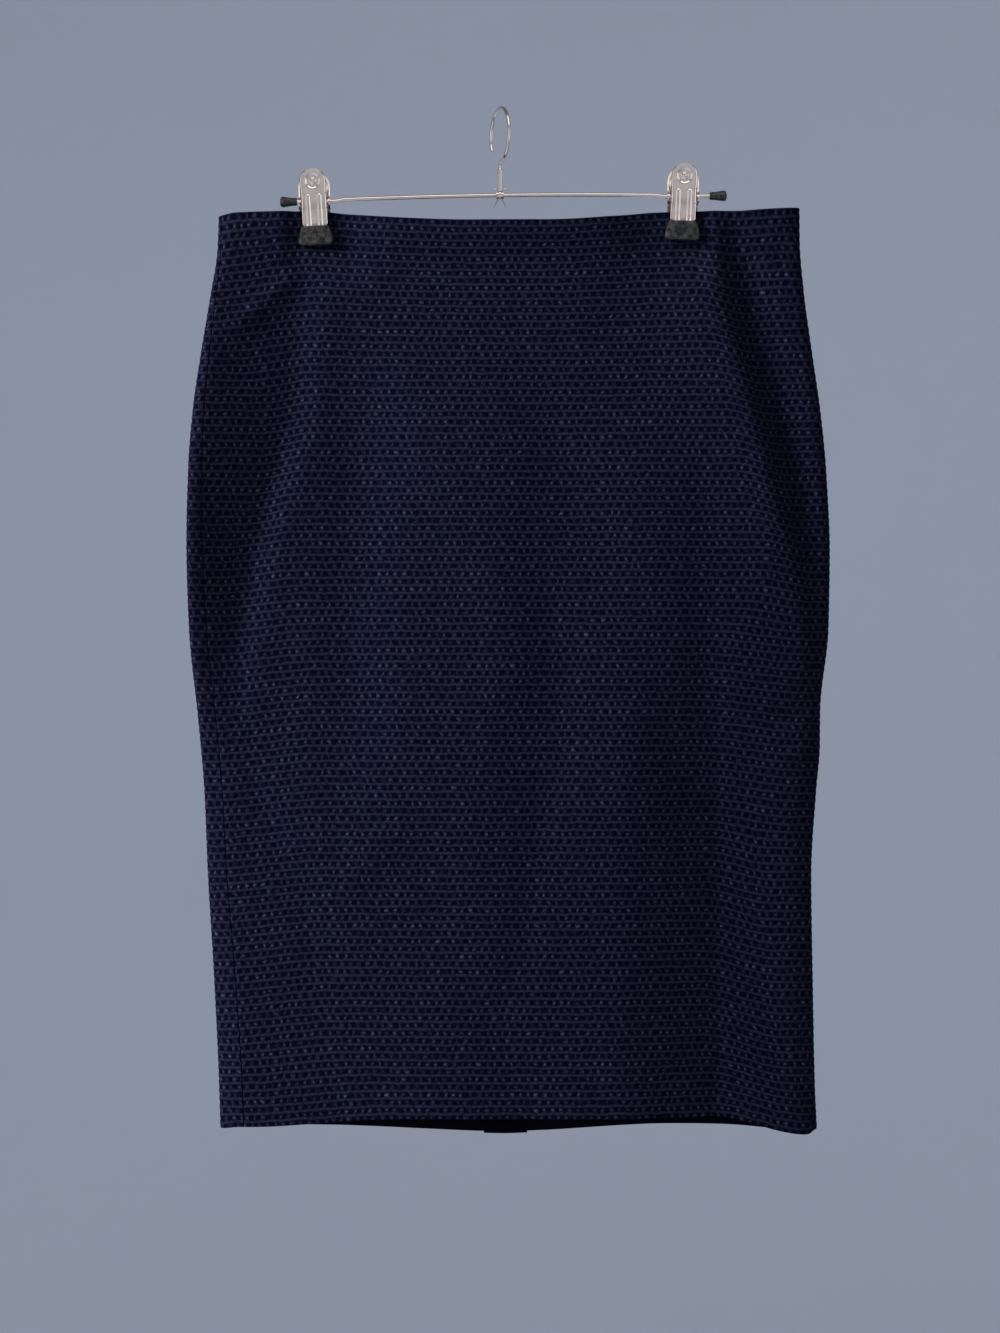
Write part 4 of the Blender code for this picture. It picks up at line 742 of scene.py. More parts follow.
def jacquard_knit():
    """Double jacquard knit of matt viscose and polyamide yarn: light cross ribs, dark sunk cells.

    The ribs and the uprights between the cells catch the light, small pips on them the most.
    """
    material, tree, shader = new_material("double_jacquard_knit")
    place = add_node(tree, "ShaderNodeUVMap", uv_map="weave")
    cells_a_metre = (1.0 / (POST_PITCH * MM), 1.0 / (RIB_PITCH * MM), 1.0)
    cells = add_node(tree, "ShaderNodeVectorMath", {0: place.outputs["UV"], 1: cells_a_metre},
                     operation="MULTIPLY")
    stretch = add_node(tree, "ShaderNodeTexNoise", {"Vector": cells.outputs[0], "Scale": 0.45,
                                                    "Detail": 2.0}, noise_dimensions="2D")
    shift = add_node(tree, "ShaderNodeVectorMath", {0: stretch.outputs["Color"], 1: (0.5, 0.5, 0.5)},
                     operation="SUBTRACT")
    drift = add_node(tree, "ShaderNodeVectorMath", {0: shift.outputs[0], 1: (0.9, 0.28, 0.0),
                                                    2: cells.outputs[0]}, operation="MULTIPLY_ADD")
    yarn = add_node(tree, "ShaderNodeTexNoise", {"Vector": cells.outputs[0], "Scale": 2.6, "Detail": 3.0,
                                                 "Roughness": 0.6}, noise_dimensions="2D")
    loops = add_node(tree, "ShaderNodeVectorMath", {0: yarn.outputs["Color"], 1: (0.5, 0.5, 0.5)},
                     operation="SUBTRACT")
    uneven = add_node(tree, "ShaderNodeVectorMath", {0: loops.outputs[0], 1: (0.5, 0.3, 0.0),
                                                     2: drift.outputs[0]}, operation="MULTIPLY_ADD")
    split = add_node(tree, "ShaderNodeSeparateXYZ", {0: uneven.outputs[0]})
    row = add_node(tree, "ShaderNodeMath", {0: split.outputs[1]}, operation="FLOOR")
    in_row = add_node(tree, "ShaderNodeMath", {0: split.outputs[1]}, operation="FRACT")
    from_middle = add_node(tree, "ShaderNodeMath", {0: in_row.outputs[0], 1: 0.5}, operation="SUBTRACT")
    row_distance = add_node(tree, "ShaderNodeMath", {0: from_middle.outputs[0]}, operation="ABSOLUTE")
    rib = add_node(tree, "ShaderNodeMapRange", {0: row_distance.outputs[0], 1: 0.24, 2: 0.46},
                   interpolation_type="SMOOTHSTEP")
    half_row = add_node(tree, "ShaderNodeMath", {0: row.outputs[0], 1: 0.5}, operation="MULTIPLY")
    stagger = add_node(tree, "ShaderNodeMath", {0: half_row.outputs[0]}, operation="FRACT")
    slid = add_node(tree, "ShaderNodeMath", {0: split.outputs[0], 1: stagger.outputs[0]}, operation="ADD")
    post = add_node(tree, "ShaderNodeMath", {0: slid.outputs[0]}, operation="FLOOR")
    in_post = add_node(tree, "ShaderNodeMath", {0: slid.outputs[0]}, operation="FRACT")
    from_post = add_node(tree, "ShaderNodeMath", {0: in_post.outputs[0], 1: 0.5}, operation="SUBTRACT")
    post_distance = add_node(tree, "ShaderNodeMath", {0: from_post.outputs[0]}, operation="ABSOLUTE")
    upright = add_node(tree, "ShaderNodeMapRange", {0: post_distance.outputs[0], 1: 0.31, 2: 0.17},
                       interpolation_type="SMOOTHSTEP")
    spot = add_node(tree, "ShaderNodeCombineXYZ", {0: post.outputs[0], 1: row.outputs[0]})
    chance = add_node(tree, "ShaderNodeTexWhiteNoise", {"Vector": spot.outputs[0]},
                      noise_dimensions="2D")
    upright_share = add_node(tree, "ShaderNodeMapRange", {0: chance.outputs["Value"], 3: 0.5, 4: 1.0})
    uprights = add_node(tree, "ShaderNodeMath", {0: upright.outputs[0], 1: upright_share.outputs[0]},
                        operation="MULTIPLY")
    off_pip = add_node(tree, "ShaderNodeCombineXYZ", {0: from_post.outputs[0], 1: from_middle.outputs[0]})
    pip_distance = add_node(tree, "ShaderNodeVectorMath", {0: off_pip.outputs[0]}, operation="LENGTH")
    pip = add_node(tree, "ShaderNodeMapRange", {0: pip_distance.outputs["Value"], 1: 0.24, 2: 0.06},
                   interpolation_type="SMOOTHSTEP")
    pip_share = add_node(tree, "ShaderNodeMapRange", {0: chance.outputs["Value"], 1: 0.1, 2: 1.0,
                                                      3: 0.2, 4: 1.0})
    row_share = add_node(tree, "ShaderNodeMapRange", {0: stagger.outputs[0], 2: 0.5, 3: 1.0, 4: 0.55})
    row_pip = add_node(tree, "ShaderNodeMath", {0: pip_share.outputs[0], 1: row_share.outputs[0]},
                       operation="MULTIPLY")
    pips = add_node(tree, "ShaderNodeMath", {0: pip.outputs[0], 1: row_pip.outputs[0]},
                    operation="MULTIPLY")
    with_posts = add_node(tree, "ShaderNodeMix", {0: uprights.outputs[0], 6: to_linear(NAVY_YARN),
                                                  7: to_linear(POST_YARN)}, data_type="RGBA")
    with_ribs = add_node(tree, "ShaderNodeMix", {0: rib.outputs[0], 6: with_posts.outputs[2],
                                                 7: to_linear(RIB_YARN)}, data_type="RGBA")
    with_pips = add_node(tree, "ShaderNodeMix", {0: pips.outputs[0], 6: with_ribs.outputs[2],
                                                 7: to_linear(PIP_YARN)}, data_type="RGBA")
    yarn_share = add_node(tree, "ShaderNodeMapRange", {0: yarn.outputs["Fac"], 1: 0.25, 2: 0.75,
                                                       3: 0.55, 4: 1.45})
    mottle = add_node(tree, "ShaderNodeVectorMath", {0: with_pips.outputs[2], 3: yarn_share.outputs[0]},
                      operation="SCALE")
    tree.links.new(mottle.outputs[0], shader.inputs["Base Color"])
    threads = add_node(tree, "ShaderNodeMath", {0: rib.outputs[0], 1: uprights.outputs[0]},
                       operation="MAXIMUM")
    raised_pips = add_node(tree, "ShaderNodeMath", {0: pips.outputs[0], 1: 0.6, 2: threads.outputs[0]},
                           operation="MULTIPLY_ADD")
    fuzz = add_node(tree, "ShaderNodeMath", {0: yarn.outputs["Fac"], 1: 0.6, 2: raised_pips.outputs[0]},
                    operation="MULTIPLY_ADD")
    bump = add_node(tree, "ShaderNodeBump", {"Height": fuzz.outputs[0], "Distance": 0.00022,
                                             "Strength": 1.0})
    tree.links.new(bump.outputs[0], shader.inputs["Normal"])
    shader.inputs["Roughness"].default_value = 0.9
    shader.inputs["Specular IOR Level"].default_value = 0.02
    shader.inputs["Sheen Weight"].default_value = 0.014
    shader.inputs["Sheen Roughness"].default_value = 0.45
    shader.inputs["Sheen Tint"].default_value = to_linear("#8C92B4")
    return material


def knit_reverse():
    """The inside of the same knit: near black and darker than its face, in the fine two-tone birdseye of a
    jacquard's back.
    """
    material, tree, shader = new_material("jacquard_reverse")
    place = add_node(tree, "ShaderNodeUVMap", uv_map="weave")
    scaled = add_node(tree, "ShaderNodeVectorMath", {0: place.outputs["UV"], 3: 1.0 / (1.3 * MM)},
                      operation="SCALE")
    checks = add_node(tree, "ShaderNodeTexChecker", {"Vector": scaled.outputs[0], "Scale": 1.0,
                                                     "Color1": to_linear("#06070C"),
                                                     "Color2": to_linear("#090A11")})
    tree.links.new(checks.outputs["Color"], shader.inputs["Base Color"])
    bump = add_node(tree, "ShaderNodeBump", {"Height": checks.outputs["Fac"], "Distance": 0.0001,
                                             "Strength": 0.6})
    tree.links.new(bump.outputs[0], shader.inputs["Normal"])
    shader.inputs["Roughness"].default_value = 0.9
    shader.inputs["Specular IOR Level"].default_value = 0.02
    return material


def raise_ribs_tree():
    """Geometry nodes that lift the knit's cross ribs off the outer face and set the two materials."""
    tree = bpy.data.node_groups.new("raise_cross_ribs", "GeometryNodeTree")
    for name, kind in (("Geometry", "NodeSocketGeometry"), ("Rib Pitch", "NodeSocketFloat"),
                       ("Rib Height", "NodeSocketFloat"), ("Face", "NodeSocketMaterial"),
                       ("Reverse", "NodeSocketMaterial")):
        tree.interface.new_socket(name, in_out="INPUT", socket_type=kind)
    tree.interface.new_socket("Geometry", in_out="OUTPUT", socket_type="NodeSocketGeometry")
    given = add_node(tree, "NodeGroupInput")
    down = add_node(tree, "GeometryNodeInputNamedAttribute", {"Name": "down"}, data_type="FLOAT")
    lift = add_node(tree, "GeometryNodeInputNamedAttribute", {"Name": "rib_lift"}, data_type="FLOAT")
    outside = add_node(tree, "GeometryNodeInputNamedAttribute", {"Name": "outside"},
                       data_type="BOOLEAN")
    ribs = add_node(tree, "ShaderNodeMath", {0: down.outputs[0], 1: given.outputs["Rib Pitch"]},
                    operation="DIVIDE")
    turns = add_node(tree, "ShaderNodeMath", {0: ribs.outputs[0], 1: 2.0 * math.pi},
                     operation="MULTIPLY")
    wave = add_node(tree, "ShaderNodeMath", {0: turns.outputs[0]}, operation="COSINE")
    tall = add_node(tree, "ShaderNodeMath", {0: wave.outputs[0], 1: given.outputs["Rib Height"]},
                    operation="MULTIPLY")
    eased = add_node(tree, "ShaderNodeMath", {0: tall.outputs[0], 1: lift.outputs[0]},
                     operation="MULTIPLY")
    normal = add_node(tree, "GeometryNodeInputNormal")
    outward = add_node(tree, "ShaderNodeVectorMath", {0: normal.outputs[0], 3: eased.outputs[0]},
                       operation="SCALE")
    moved = add_node(tree, "GeometryNodeSetPosition", {"Geometry": given.outputs["Geometry"],
                                                       "Offset": outward.outputs[0]})
    real = add_node(tree, "GeometryNodeRealizeInstances", {"Geometry": moved.outputs[0]})
    all_reverse = add_node(tree, "GeometryNodeSetMaterial", {"Geometry": real.outputs[0],
                                                             "Material": given.outputs["Reverse"]})
    face = add_node(tree, "GeometryNodeSetMaterial", {"Geometry": all_reverse.outputs[0],
                                                      "Selection": outside.outputs[0],
                                                      "Material": given.outputs["Face"]})
    add_node(tree, "NodeGroupOutput", {0: face.outputs[0]})
    return tree


def apply_tree(thing, tree, **values):
    """Run a geometry node tree on an object and keep its result as the object's plain mesh."""
    change = thing.modifiers.new(tree.name, "NODES")
    change.node_group = tree
    sockets = {item.name.replace(" ", "_").lower(): item.identifier
               for item in tree.interface.items_tree if item.in_out == "INPUT"}
    for name, value in values.items():
        change[sockets[name]] = value
    bpy.context.view_layer.update()
    evaluated = thing.evaluated_get(bpy.context.evaluated_depsgraph_get())
    mesh = bpy.data.meshes.new_from_object(evaluated)
    old = thing.data
    name = thing.name
    if thing.type == "MESH":
        thing.modifiers.clear()
        thing.data = mesh
        bpy.data.meshes.remove(old)
    else:
        bpy.data.objects.remove(thing, do_unlink=True)
        thing = bpy.data.objects.new(name, mesh)
        bpy.context.collection.objects.link(thing)
    thing.data.name = name
    return thing


knit_face = jacquard_knit()
knit_back = knit_reverse()
rib_tree = raise_ribs_tree()


def finish_cloth(thing):
    """Raise the ribs of a panel and give it its two materials."""
    return apply_tree(thing, rib_tree, rib_pitch=RIB_PITCH * MM, rib_height=RIB_HEIGHT * MM,
                      face=knit_face, reverse=knit_back)


front = finish_cloth(panel_mesh("front_panel", front_stations, 0.0, LENGTH, 0.0, CLOTH_WALL))
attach(front, "root")
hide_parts("skirt_front")


# ==== Back panels =============================================================================
# Two pieces of the same knit, joined down the centre back as far as the vent and to the front at
# the side seams, plain seams pressed open with no stitching on the outside.

VENT_LENGTH = 165.0
BACK_RIGHT_STEPS = 56
BACK_LEFT_STEPS = 46


def back_right_stations(loop):
    """Arc lengths across the right back panel, from its side seam to the centre back."""
    centre = centre_back(loop)
    start = loop["right_crest"] + loop["section"]["seam"] + SEAM_GAP / 2.0
    end = centre - SEAM_GAP / 2.0
    return start + (end - start) * crowded(BACK_RIGHT_STEPS, False), centre


def back_left_stations(loop):
    """Arc lengths across the left back panel, from the centre back to its side seam."""
    seam, whole = loop["section"]["seam"], loop["arc"][-1]
    centre = centre_back(loop)
    start = centre + SEAM_GAP / 2.0
    fold_start, fold_end = whole - FOLD_REACH, whole + min(FOLD_REACH, SEAM_REACH * seam)
    main = 1.0 - crowded(BACK_LEFT_STEPS, False)[::-1]
    return np.concatenate((start + (fold_start - start) * main[:-1],
                           np.linspace(fold_start, fold_end, SIDE_FOLD_STEPS + 1)[:-1],
                           np.linspace(fold_end, whole + seam - SEAM_GAP / 2.0,
                                       SEAM_STEPS + 1))), centre


def centre_back(loop):
    """Arc length of the centre back seam in one section."""
    share = loop["down"] / LENGTH
    return arc_at(loop, CENTRE_BACK_TOP_X * (1.0 - share) + CENTRE_BACK_HEM_X * share, "back")


back_right = finish_cloth(panel_mesh("back_right_panel", back_right_stations, 0.0, LENGTH,
                                     0.0, CLOTH_WALL))
back_left = finish_cloth(panel_mesh("back_left_panel", back_left_stations, 0.0, LENGTH,
                                    0.0, CLOTH_WALL))
for panel, node, width in ((back_right, "skirt_back_right", 0.218), (back_left, "skirt_back_left", 0.226)):
    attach(panel, "root")
    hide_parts(node)


# ==== Vent underlap ===========================================================================
# The strip that closes the vent from behind, cut in one with a back panel in the same knit. It
# hangs a millimetre below the hem.

UNDERLAP_WIDTH = 23.5           # what it reaches past the centre back
UNDERLAP_TURN = 6.0             # what it takes up behind the panel that it is sewn to
UNDERLAP_DIP = 1.0
UNDERLAP_DIP_START = 640.0      # below the crown of the hook, where it begins to hang lower
UNDERLAP_DIP_END = 670.0
UNDERLAP_DEPTH = CLOTH_WALL + 0.3
UNDERLAP_STEPS = 12


def underlap_stations(loop):
    """Arc lengths across the underlap, either side of the centre back."""
    centre = centre_back(loop)
    return centre + np.linspace(-UNDERLAP_WIDTH, UNDERLAP_TURN, UNDERLAP_STEPS + 1), centre


underlap = panel_mesh("vent_underlap_strip", underlap_stations, LENGTH - VENT_LENGTH, LENGTH,
                      UNDERLAP_DEPTH, CLOTH_WALL, raised=False)
for corner in underlap.data.vertices:
    hem_share = soft_step(-corner.co.z / MM, UNDERLAP_DIP_START, UNDERLAP_DIP_END)
    corner.co.z -= float(hem_share) * UNDERLAP_DIP * MM
underlap = finish_cloth(underlap)
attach(underlap, "root")
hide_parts("vent_underlap")


# ==== Hanger bar ==============================================================================
# A straight drawn steel wire of 3 mm, chromed. It steps down a little towards each end, where the
# clips sit, and the hook pulls its middle up slightly.

BAR_DIAMETER = 3.0
BAR_ENDS_LEVEL = -59.7
BAR_TILT = math.radians(0.8)
BAR_MIDDLE_HALF = 104.0
BAR_MIDDLE_BOW = 1.4
BAR_STEP_RUN = 6.0
BAR_STEP_DROP = 1.0
BAR_LEFT_END = -145.0
BAR_RIGHT_END = 149.5
BAR_FINE_HALF = 112.0           # between these it is bowed and stepped
CHROME = "#EDE3DB"
CHROME_WEAR = "#D6CABF"


def chromed_steel():
    """Bright chromed steel that picks up the room, with faint drawing marks and a warm cast."""
    material, tree, shader = new_material("chromed_steel")
    place = add_node(tree, "ShaderNodeTexCoord")
    wear = add_node(tree, "ShaderNodeTexNoise", {"Vector": place.outputs["Object"], "Scale": 260.0,
                                                 "Detail": 3.0})
    colour = add_node(tree, "ShaderNodeMix", {0: wear.outputs["Fac"], 6: to_linear(CHROME),
                                              7: to_linear(CHROME_WEAR)}, data_type="RGBA")
    gloss = add_node(tree, "ShaderNodeMapRange", {0: wear.outputs["Fac"], 3: 0.1, 4: 0.2})
    tree.links.new(colour.outputs[2], shader.inputs["Base Color"])
    tree.links.new(gloss.outputs[0], shader.inputs["Roughness"])
    shader.inputs["Metallic"].default_value = 1.0
    return material


def wire_tree():
    """Geometry nodes that draw a round wire along a path; each point gives its share of the width."""
    tree = bpy.data.node_groups.new("wire_along_a_path", "GeometryNodeTree")
    for name, kind in (("Geometry", "NodeSocketGeometry"), ("Diameter", "NodeSocketFloat"),
                       ("Sides", "NodeSocketInt"), ("Finish", "NodeSocketMaterial")):
        tree.interface.new_socket(name, in_out="INPUT", socket_type=kind)
    tree.interface.new_socket("Geometry", in_out="OUTPUT", socket_type="NodeSocketGeometry")
    given = add_node(tree, "NodeGroupInput")
    path = add_node(tree, "GeometryNodeMeshToCurve", {0: given.outputs["Geometry"]})
    share = add_node(tree, "GeometryNodeInputNamedAttribute", {"Name": "width_share"},
                     data_type="FLOAT")
    thick = add_node(tree, "GeometryNodeSetCurveRadius", {"Curve": path.outputs[0],
                                                          "Radius": share.outputs[0]})
    half = add_node(tree, "ShaderNodeMath", {0: given.outputs["Diameter"], 1: 0.5},
                    operation="MULTIPLY")
    round_section = add_node(tree, "GeometryNodeCurvePrimitiveCircle",
                             {"Resolution": given.outputs["Sides"], "Radius": half.outputs[0]})
    drawn = add_node(tree, "GeometryNodeCurveToMesh", {"Curve": thick.outputs[0],
                                                       "Profile Curve": round_section.outputs[0],
                                                       "Fill Caps": True})
    if "Scale" in drawn.inputs:
        tree.links.new(share.outputs[0], drawn.inputs["Scale"])
    soft = add_node(tree, "GeometryNodeSetShadeSmooth", {0: drawn.outputs[0]})
    real = add_node(tree, "GeometryNodeRealizeInstances", {"Geometry": soft.outputs[0]})
    finish = add_node(tree, "GeometryNodeSetMaterial", {"Geometry": real.outputs[0],
                                                        "Material": given.outputs["Finish"]})
    add_node(tree, "NodeGroupOutput", {0: finish.outputs[0]})
    return tree


chrome = chromed_steel()
wire_nodes = wire_tree()


def wire(name, points, diameter, shares=None, sides=20):
    """A round chromed wire through points in millimetres."""
    mesh = bpy.data.meshes.new(name)
    mesh.from_pydata([tuple(v) for v in np.asarray(points, dtype=float) * MM],
                     [(k, k + 1) for k in range(len(points) - 1)], [])
    share = np.ones(len(points)) if shares is None else np.asarray(shares)
    mesh.attributes.new("width_share", "FLOAT", "POINT").data.foreach_set("value",
                                                                         share.astype(np.float32))
    thing = bpy.data.objects.new(name, mesh)
    bpy.context.collection.objects.link(thing)
    return apply_tree(thing, wire_nodes, diameter=diameter * MM, sides=sides, finish=chrome)


def bar_height(x):
    """Height of the bar's axis at one place along it."""
    raised = 1.0 - soft_step(np.abs(x), BAR_MIDDLE_HALF, BAR_MIDDLE_HALF + BAR_STEP_RUN)
    bow_up = np.clip(1.0 - (x / BAR_MIDDLE_HALF) ** 2, 0.0, 1.0)
    return BAR_ENDS_LEVEL + x * math.tan(BAR_TILT) + BAR_STEP_DROP * raised + BAR_MIDDLE_BOW * bow_up


bar_x = np.concatenate(([BAR_LEFT_END], np.linspace(-BAR_FINE_HALF, BAR_FINE_HALF, 113), [BAR_RIGHT_END]))
bar = wire("hanger_wire_bar", np.column_stack((bar_x, np.zeros(len(bar_x)), bar_height(bar_x))),
           BAR_DIAMETER)
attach(bar, "root")
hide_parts("hanger_bar")


# ==== Hook ====================================================================================
# One chromed wire: a straight stem stands in the saddle, bends over, and runs into a round hook
# whose crown rests on the rail. Its plane runs almost front to back; the free end is rounded off.

HOOK_DIAMETER = 2.3
HOOK_INNER_RADIUS = 17.0
HOOK_TURN = math.radians(-70.5)
HOOK_STEM_TOP = -39.2
HOOK_STEM_TAPER = (
    # below the top of the stem, share of the thickness of the wire
    (1.1, 1.26),
    (0.5, 1.2222),
    (0.15, 1.08),
    (0.0, 1.0),
)
HOOK_BEND = 1.9
HOOK_ARC_START = math.radians(-68.0)
HOOK_ARC_END = math.radians(205.0)
HOOK_TIP_STEPS = (0.25, 0.5, 0.7, 0.85, 0.95, 0.995)
SADDLE_RADIUS = 2.7
STEM_GAP = 0.3                  # between the saddle and the foot of the stem

reach = HOOK_INNER_RADIUS + HOOK_DIAMETER / 2.0
arc_x = reach * math.cos(HOOK_ARC_START)
arc_z = -HOOK_INNER_RADIUS + reach * math.sin(HOOK_ARC_START)
bend_z = arc_z - arc_x * math.tan(math.pi / 2.0 + HOOK_ARC_START)
slant = np.array((arc_x, arc_z - bend_z)) / math.hypot(arc_x, arc_z - bend_z)
hook_path = [(0.0, float(bar_height(0.0)) + SADDLE_RADIUS + STEM_GAP, HOOK_STEM_TAPER[0][1])]
hook_path += [(0.0, HOOK_STEM_TOP - below, share) for below, share in HOOK_STEM_TAPER]
for step in np.linspace(0.0, 1.0, 9):
    past = slant * HOOK_BEND * step ** 2
    hook_path.append((past[0], bend_z - HOOK_BEND * (1.0 - step) ** 2 + past[1], 1.0))
for angle in np.linspace(HOOK_ARC_START, HOOK_ARC_END, 90):
    hook_path.append((reach * math.cos(angle), -HOOK_INNER_RADIUS + reach * math.sin(angle), 1.0))
for step in HOOK_TIP_STEPS:
    angle = HOOK_ARC_END + HOOK_DIAMETER / 2.0 / reach * step
    hook_path.append((reach * math.cos(angle), -HOOK_INNER_RADIUS + reach * math.sin(angle),
                      math.sqrt(1.0 - step ** 2)))
turn_hook = Matrix.Rotation(HOOK_TURN, 3, "Z")
hook = wire("wire_hook", [turn_hook @ Vector((out, 0.0, height)) for out, height, _ in hook_path],
            HOOK_DIAMETER, [share for _, _, share in hook_path], 24)
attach(hook, "root")
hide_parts("hanger_hook")


# ==== Hook saddle =============================================================================
# A pressed steel collar crimped round the bar under the stem. Its tongue lies over the front of the
# bar, and four thin ears splay out, two short ones above the bar and two longer ones below.

SADDLE_LENGTH = 5.0
SADDLE_EARS = (
    # lean from straight up in degrees, length, thickness at the root, thickness at the tip
    (-38.0, 3.4, 1.3, 0.7),
    (38.0, 3.4, 1.3, 0.7),
    (152.0, 7.2, 1.3, 0.7),
    (-152.0, 7.2, 1.3, 0.7),
)
EAR_WIDTH = 2.4
EAR_CURL = 9.0                  # degrees by which an ear bends outwards along its length
EAR_ROOT_GAP = 0.1
BAR_BORE = BAR_DIAMETER / 2.0 + 0.3
TONGUE_START = 62.0             # degrees up from straight forward, round the bar
TONGUE_END = -42.0
TONGUE_STAND = 0.25
TONGUE_HALF_THICKNESS = 0.35


def closed_rings(rings, loop=False):
    """Vertices and faces of a body made of rings of equal count, capped unless it closes on itself."""
    count, size = len(rings), len(rings[0])
    faces = []
    for i in range(count if loop else count - 1):
        following = (i + 1) % count
        for j in range(size):
            ahead = (j + 1) % size
            faces.append((i * size + j, i * size + ahead, following * size + ahead,
                          following * size + j))
    if not loop:
        faces.append(tuple(range(size))[::-1])
        faces.append(tuple((count - 1) * size + j for j in range(size)))
    return [tuple(point) for ring in rings for point in ring], faces


def solid_piece(name, bodies, place, material, smooth_angle=40.0):
    """One piece from closed bodies given as (vertices, faces), moved into place, normals outwards."""
    vertices, faces = [], []
    for body_vertices, body_faces in bodies:
        faces += [tuple(len(vertices) + k for k in face) for face in body_faces]
        vertices += list(body_vertices)
    thing = mesh_object(name, vertices, faces)
    shaper = bmesh.new()
    shaper.from_mesh(thing.data)
    bmesh.ops.remove_doubles(shaper, verts=shaper.verts, dist=2e-6)
    bmesh.ops.recalc_face_normals(shaper, faces=shaper.faces)
    shaper.to_mesh(thing.data)
    shaper.free()
    thing.data.transform(place)
    thing.data.set_sharp_from_angle(angle=math.radians(smooth_angle))
    thing.data.materials.append(material)
    return thing


def turned(outline, steps):
    """A body turned about the X axis from (x, radius) points; the outline closes on itself."""
    rings = []
    for step in range(steps):
        angle = 2.0 * math.pi * step / steps
        rings.append([(x, radius * math.cos(angle), radius * math.sin(angle)) for x, radius in outline])
    return closed_rings(rings, loop=True)


def ear_body(lean, length, root, tip):
    """A thin ear of the saddle: it rises from the collar, tapers and curls outwards."""
    rings = []
    heading = math.radians(lean)
    spot = Vector((math.sin(heading), 0.0, math.cos(heading))) * (BAR_BORE + EAR_ROOT_GAP + root / 2.0)
    steps = 8
    for step in range(steps + 1):
        share = step / steps
        angle = heading + math.radians(EAR_CURL) * share * math.copysign(1.0, math.sin(heading))
        along = Vector((math.sin(angle), 0.0, math.cos(angle)))
        aside = Vector((math.cos(angle), 0.0, -math.sin(angle)))
        thick = root + (tip - root) * share
        width = EAR_WIDTH * (1.0 - 0.35 * share ** 3)
        ring = []
        for turn in np.linspace(0.0, 2.0 * math.pi, 12, endpoint=False):
            across, deep = math.cos(turn), math.sin(turn)
            ring.append(spot + aside * (thick / 2.0 * math.copysign(abs(across) ** 0.6, across))
                        + Vector((0.0, width / 2.0 * math.copysign(abs(deep) ** 0.6, deep), 0.0)))
        rings.append(ring)
        spot = spot + along * (length / steps)
    return closed_rings(rings)


def tongue_body():
    """The tongue in front of the bar, from the foot of the stem down past the collar."""
    rings = []
    for angle in np.radians(np.linspace(TONGUE_START, TONGUE_END, 12)):
        out = SADDLE_RADIUS + TONGUE_STAND
        middle = Vector((0.0, -out * math.cos(angle), out * math.sin(angle)))
        away = Vector((0.0, -math.cos(angle), math.sin(angle)))
        ring = []
        for turn in np.linspace(0.0, 2.0 * math.pi, 10, endpoint=False):
            thick = TONGUE_HALF_THICKNESS * math.sin(turn)
            ring.append(middle + Vector((math.cos(turn), 0.0, 0.0)) + away * thick)
        rings.append(ring)
    return closed_rings(rings)


half = SADDLE_LENGTH / 2.0
collar = [(-half, BAR_BORE), (-half, 2.5), (-half + 0.1, 2.65), (-half + 0.3, SADDLE_RADIUS),
          (half - 0.3, SADDLE_RADIUS), (half - 0.1, 2.65), (half, 2.5), (half, BAR_BORE)]
at_hook = Matrix.Translation((0.0, 0.0, float(bar_height(0.0)) * MM)) @ Matrix.Rotation(-BAR_TILT, 4, "Y")
saddle = solid_piece("hook_collar", [turned(collar, 32), tongue_body()]
                     + [ear_body(*ear) for ear in SADDLE_EARS], at_hook, chrome)
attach(saddle, "root")
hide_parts("hook_saddle")


# ==== Bar end caps ============================================================================
# A black rubber bulb moulded in one and pushed over each end of the bar, open at its inner end.

CAP_LENGTH = 11.5
CAP_OVER_BAR = 9.0
CAP_FLOOR_GAP = 0.3             # between the end of the bar and the floor of the bore
CAP_WIDTHS = (
    # share of the length from the open end, radius
    (0.0, 2.45),
    (0.03, 2.6),
    (0.3, 2.75),
    (0.6, 3.2),
    (0.8, 3.55),
    (0.93, 3.1),
    (0.985, 1.7),
    (1.0, 0.0),
)
CAP_WIDTH_COLUMNS = ("share", "radius")
RUBBER = "#080808"
RUBBER_SCUFF = "#403F3C"


def moulded_rubber():
    """Black moulded rubber: a soft dull shine, a little paler where it is scuffed."""
    material, tree, shader = new_material("moulded_rubber")
    place = add_node(tree, "ShaderNodeTexCoord")
    scuff = add_node(tree, "ShaderNodeTexNoise", {"Vector": place.outputs["Object"], "Scale": 330.0,
                                                  "Detail": 4.0, "Roughness": 0.7})
    scuffed = add_node(tree, "ShaderNodeMapRange", {0: scuff.outputs["Fac"], 1: 0.42, 2: 0.66})
    colour = add_node(tree, "ShaderNodeMix", {0: scuffed.outputs[0], 6: to_linear(RUBBER),
                                              7: to_linear(RUBBER_SCUFF)}, data_type="RGBA")
    gloss = add_node(tree, "ShaderNodeMapRange", {0: scuff.outputs["Fac"], 1: 0.35, 2: 0.65,
                                                  3: 0.26, 4: 0.5})
    grain = add_node(tree, "ShaderNodeBump", {"Height": scuff.outputs["Fac"], "Distance": 0.0006,
                                              "Strength": 0.6})
    tree.links.new(colour.outputs[2], shader.inputs["Base Color"])
    tree.links.new(gloss.outputs[0], shader.inputs["Roughness"])
    tree.links.new(grain.outputs[0], shader.inputs["Normal"])
    return material


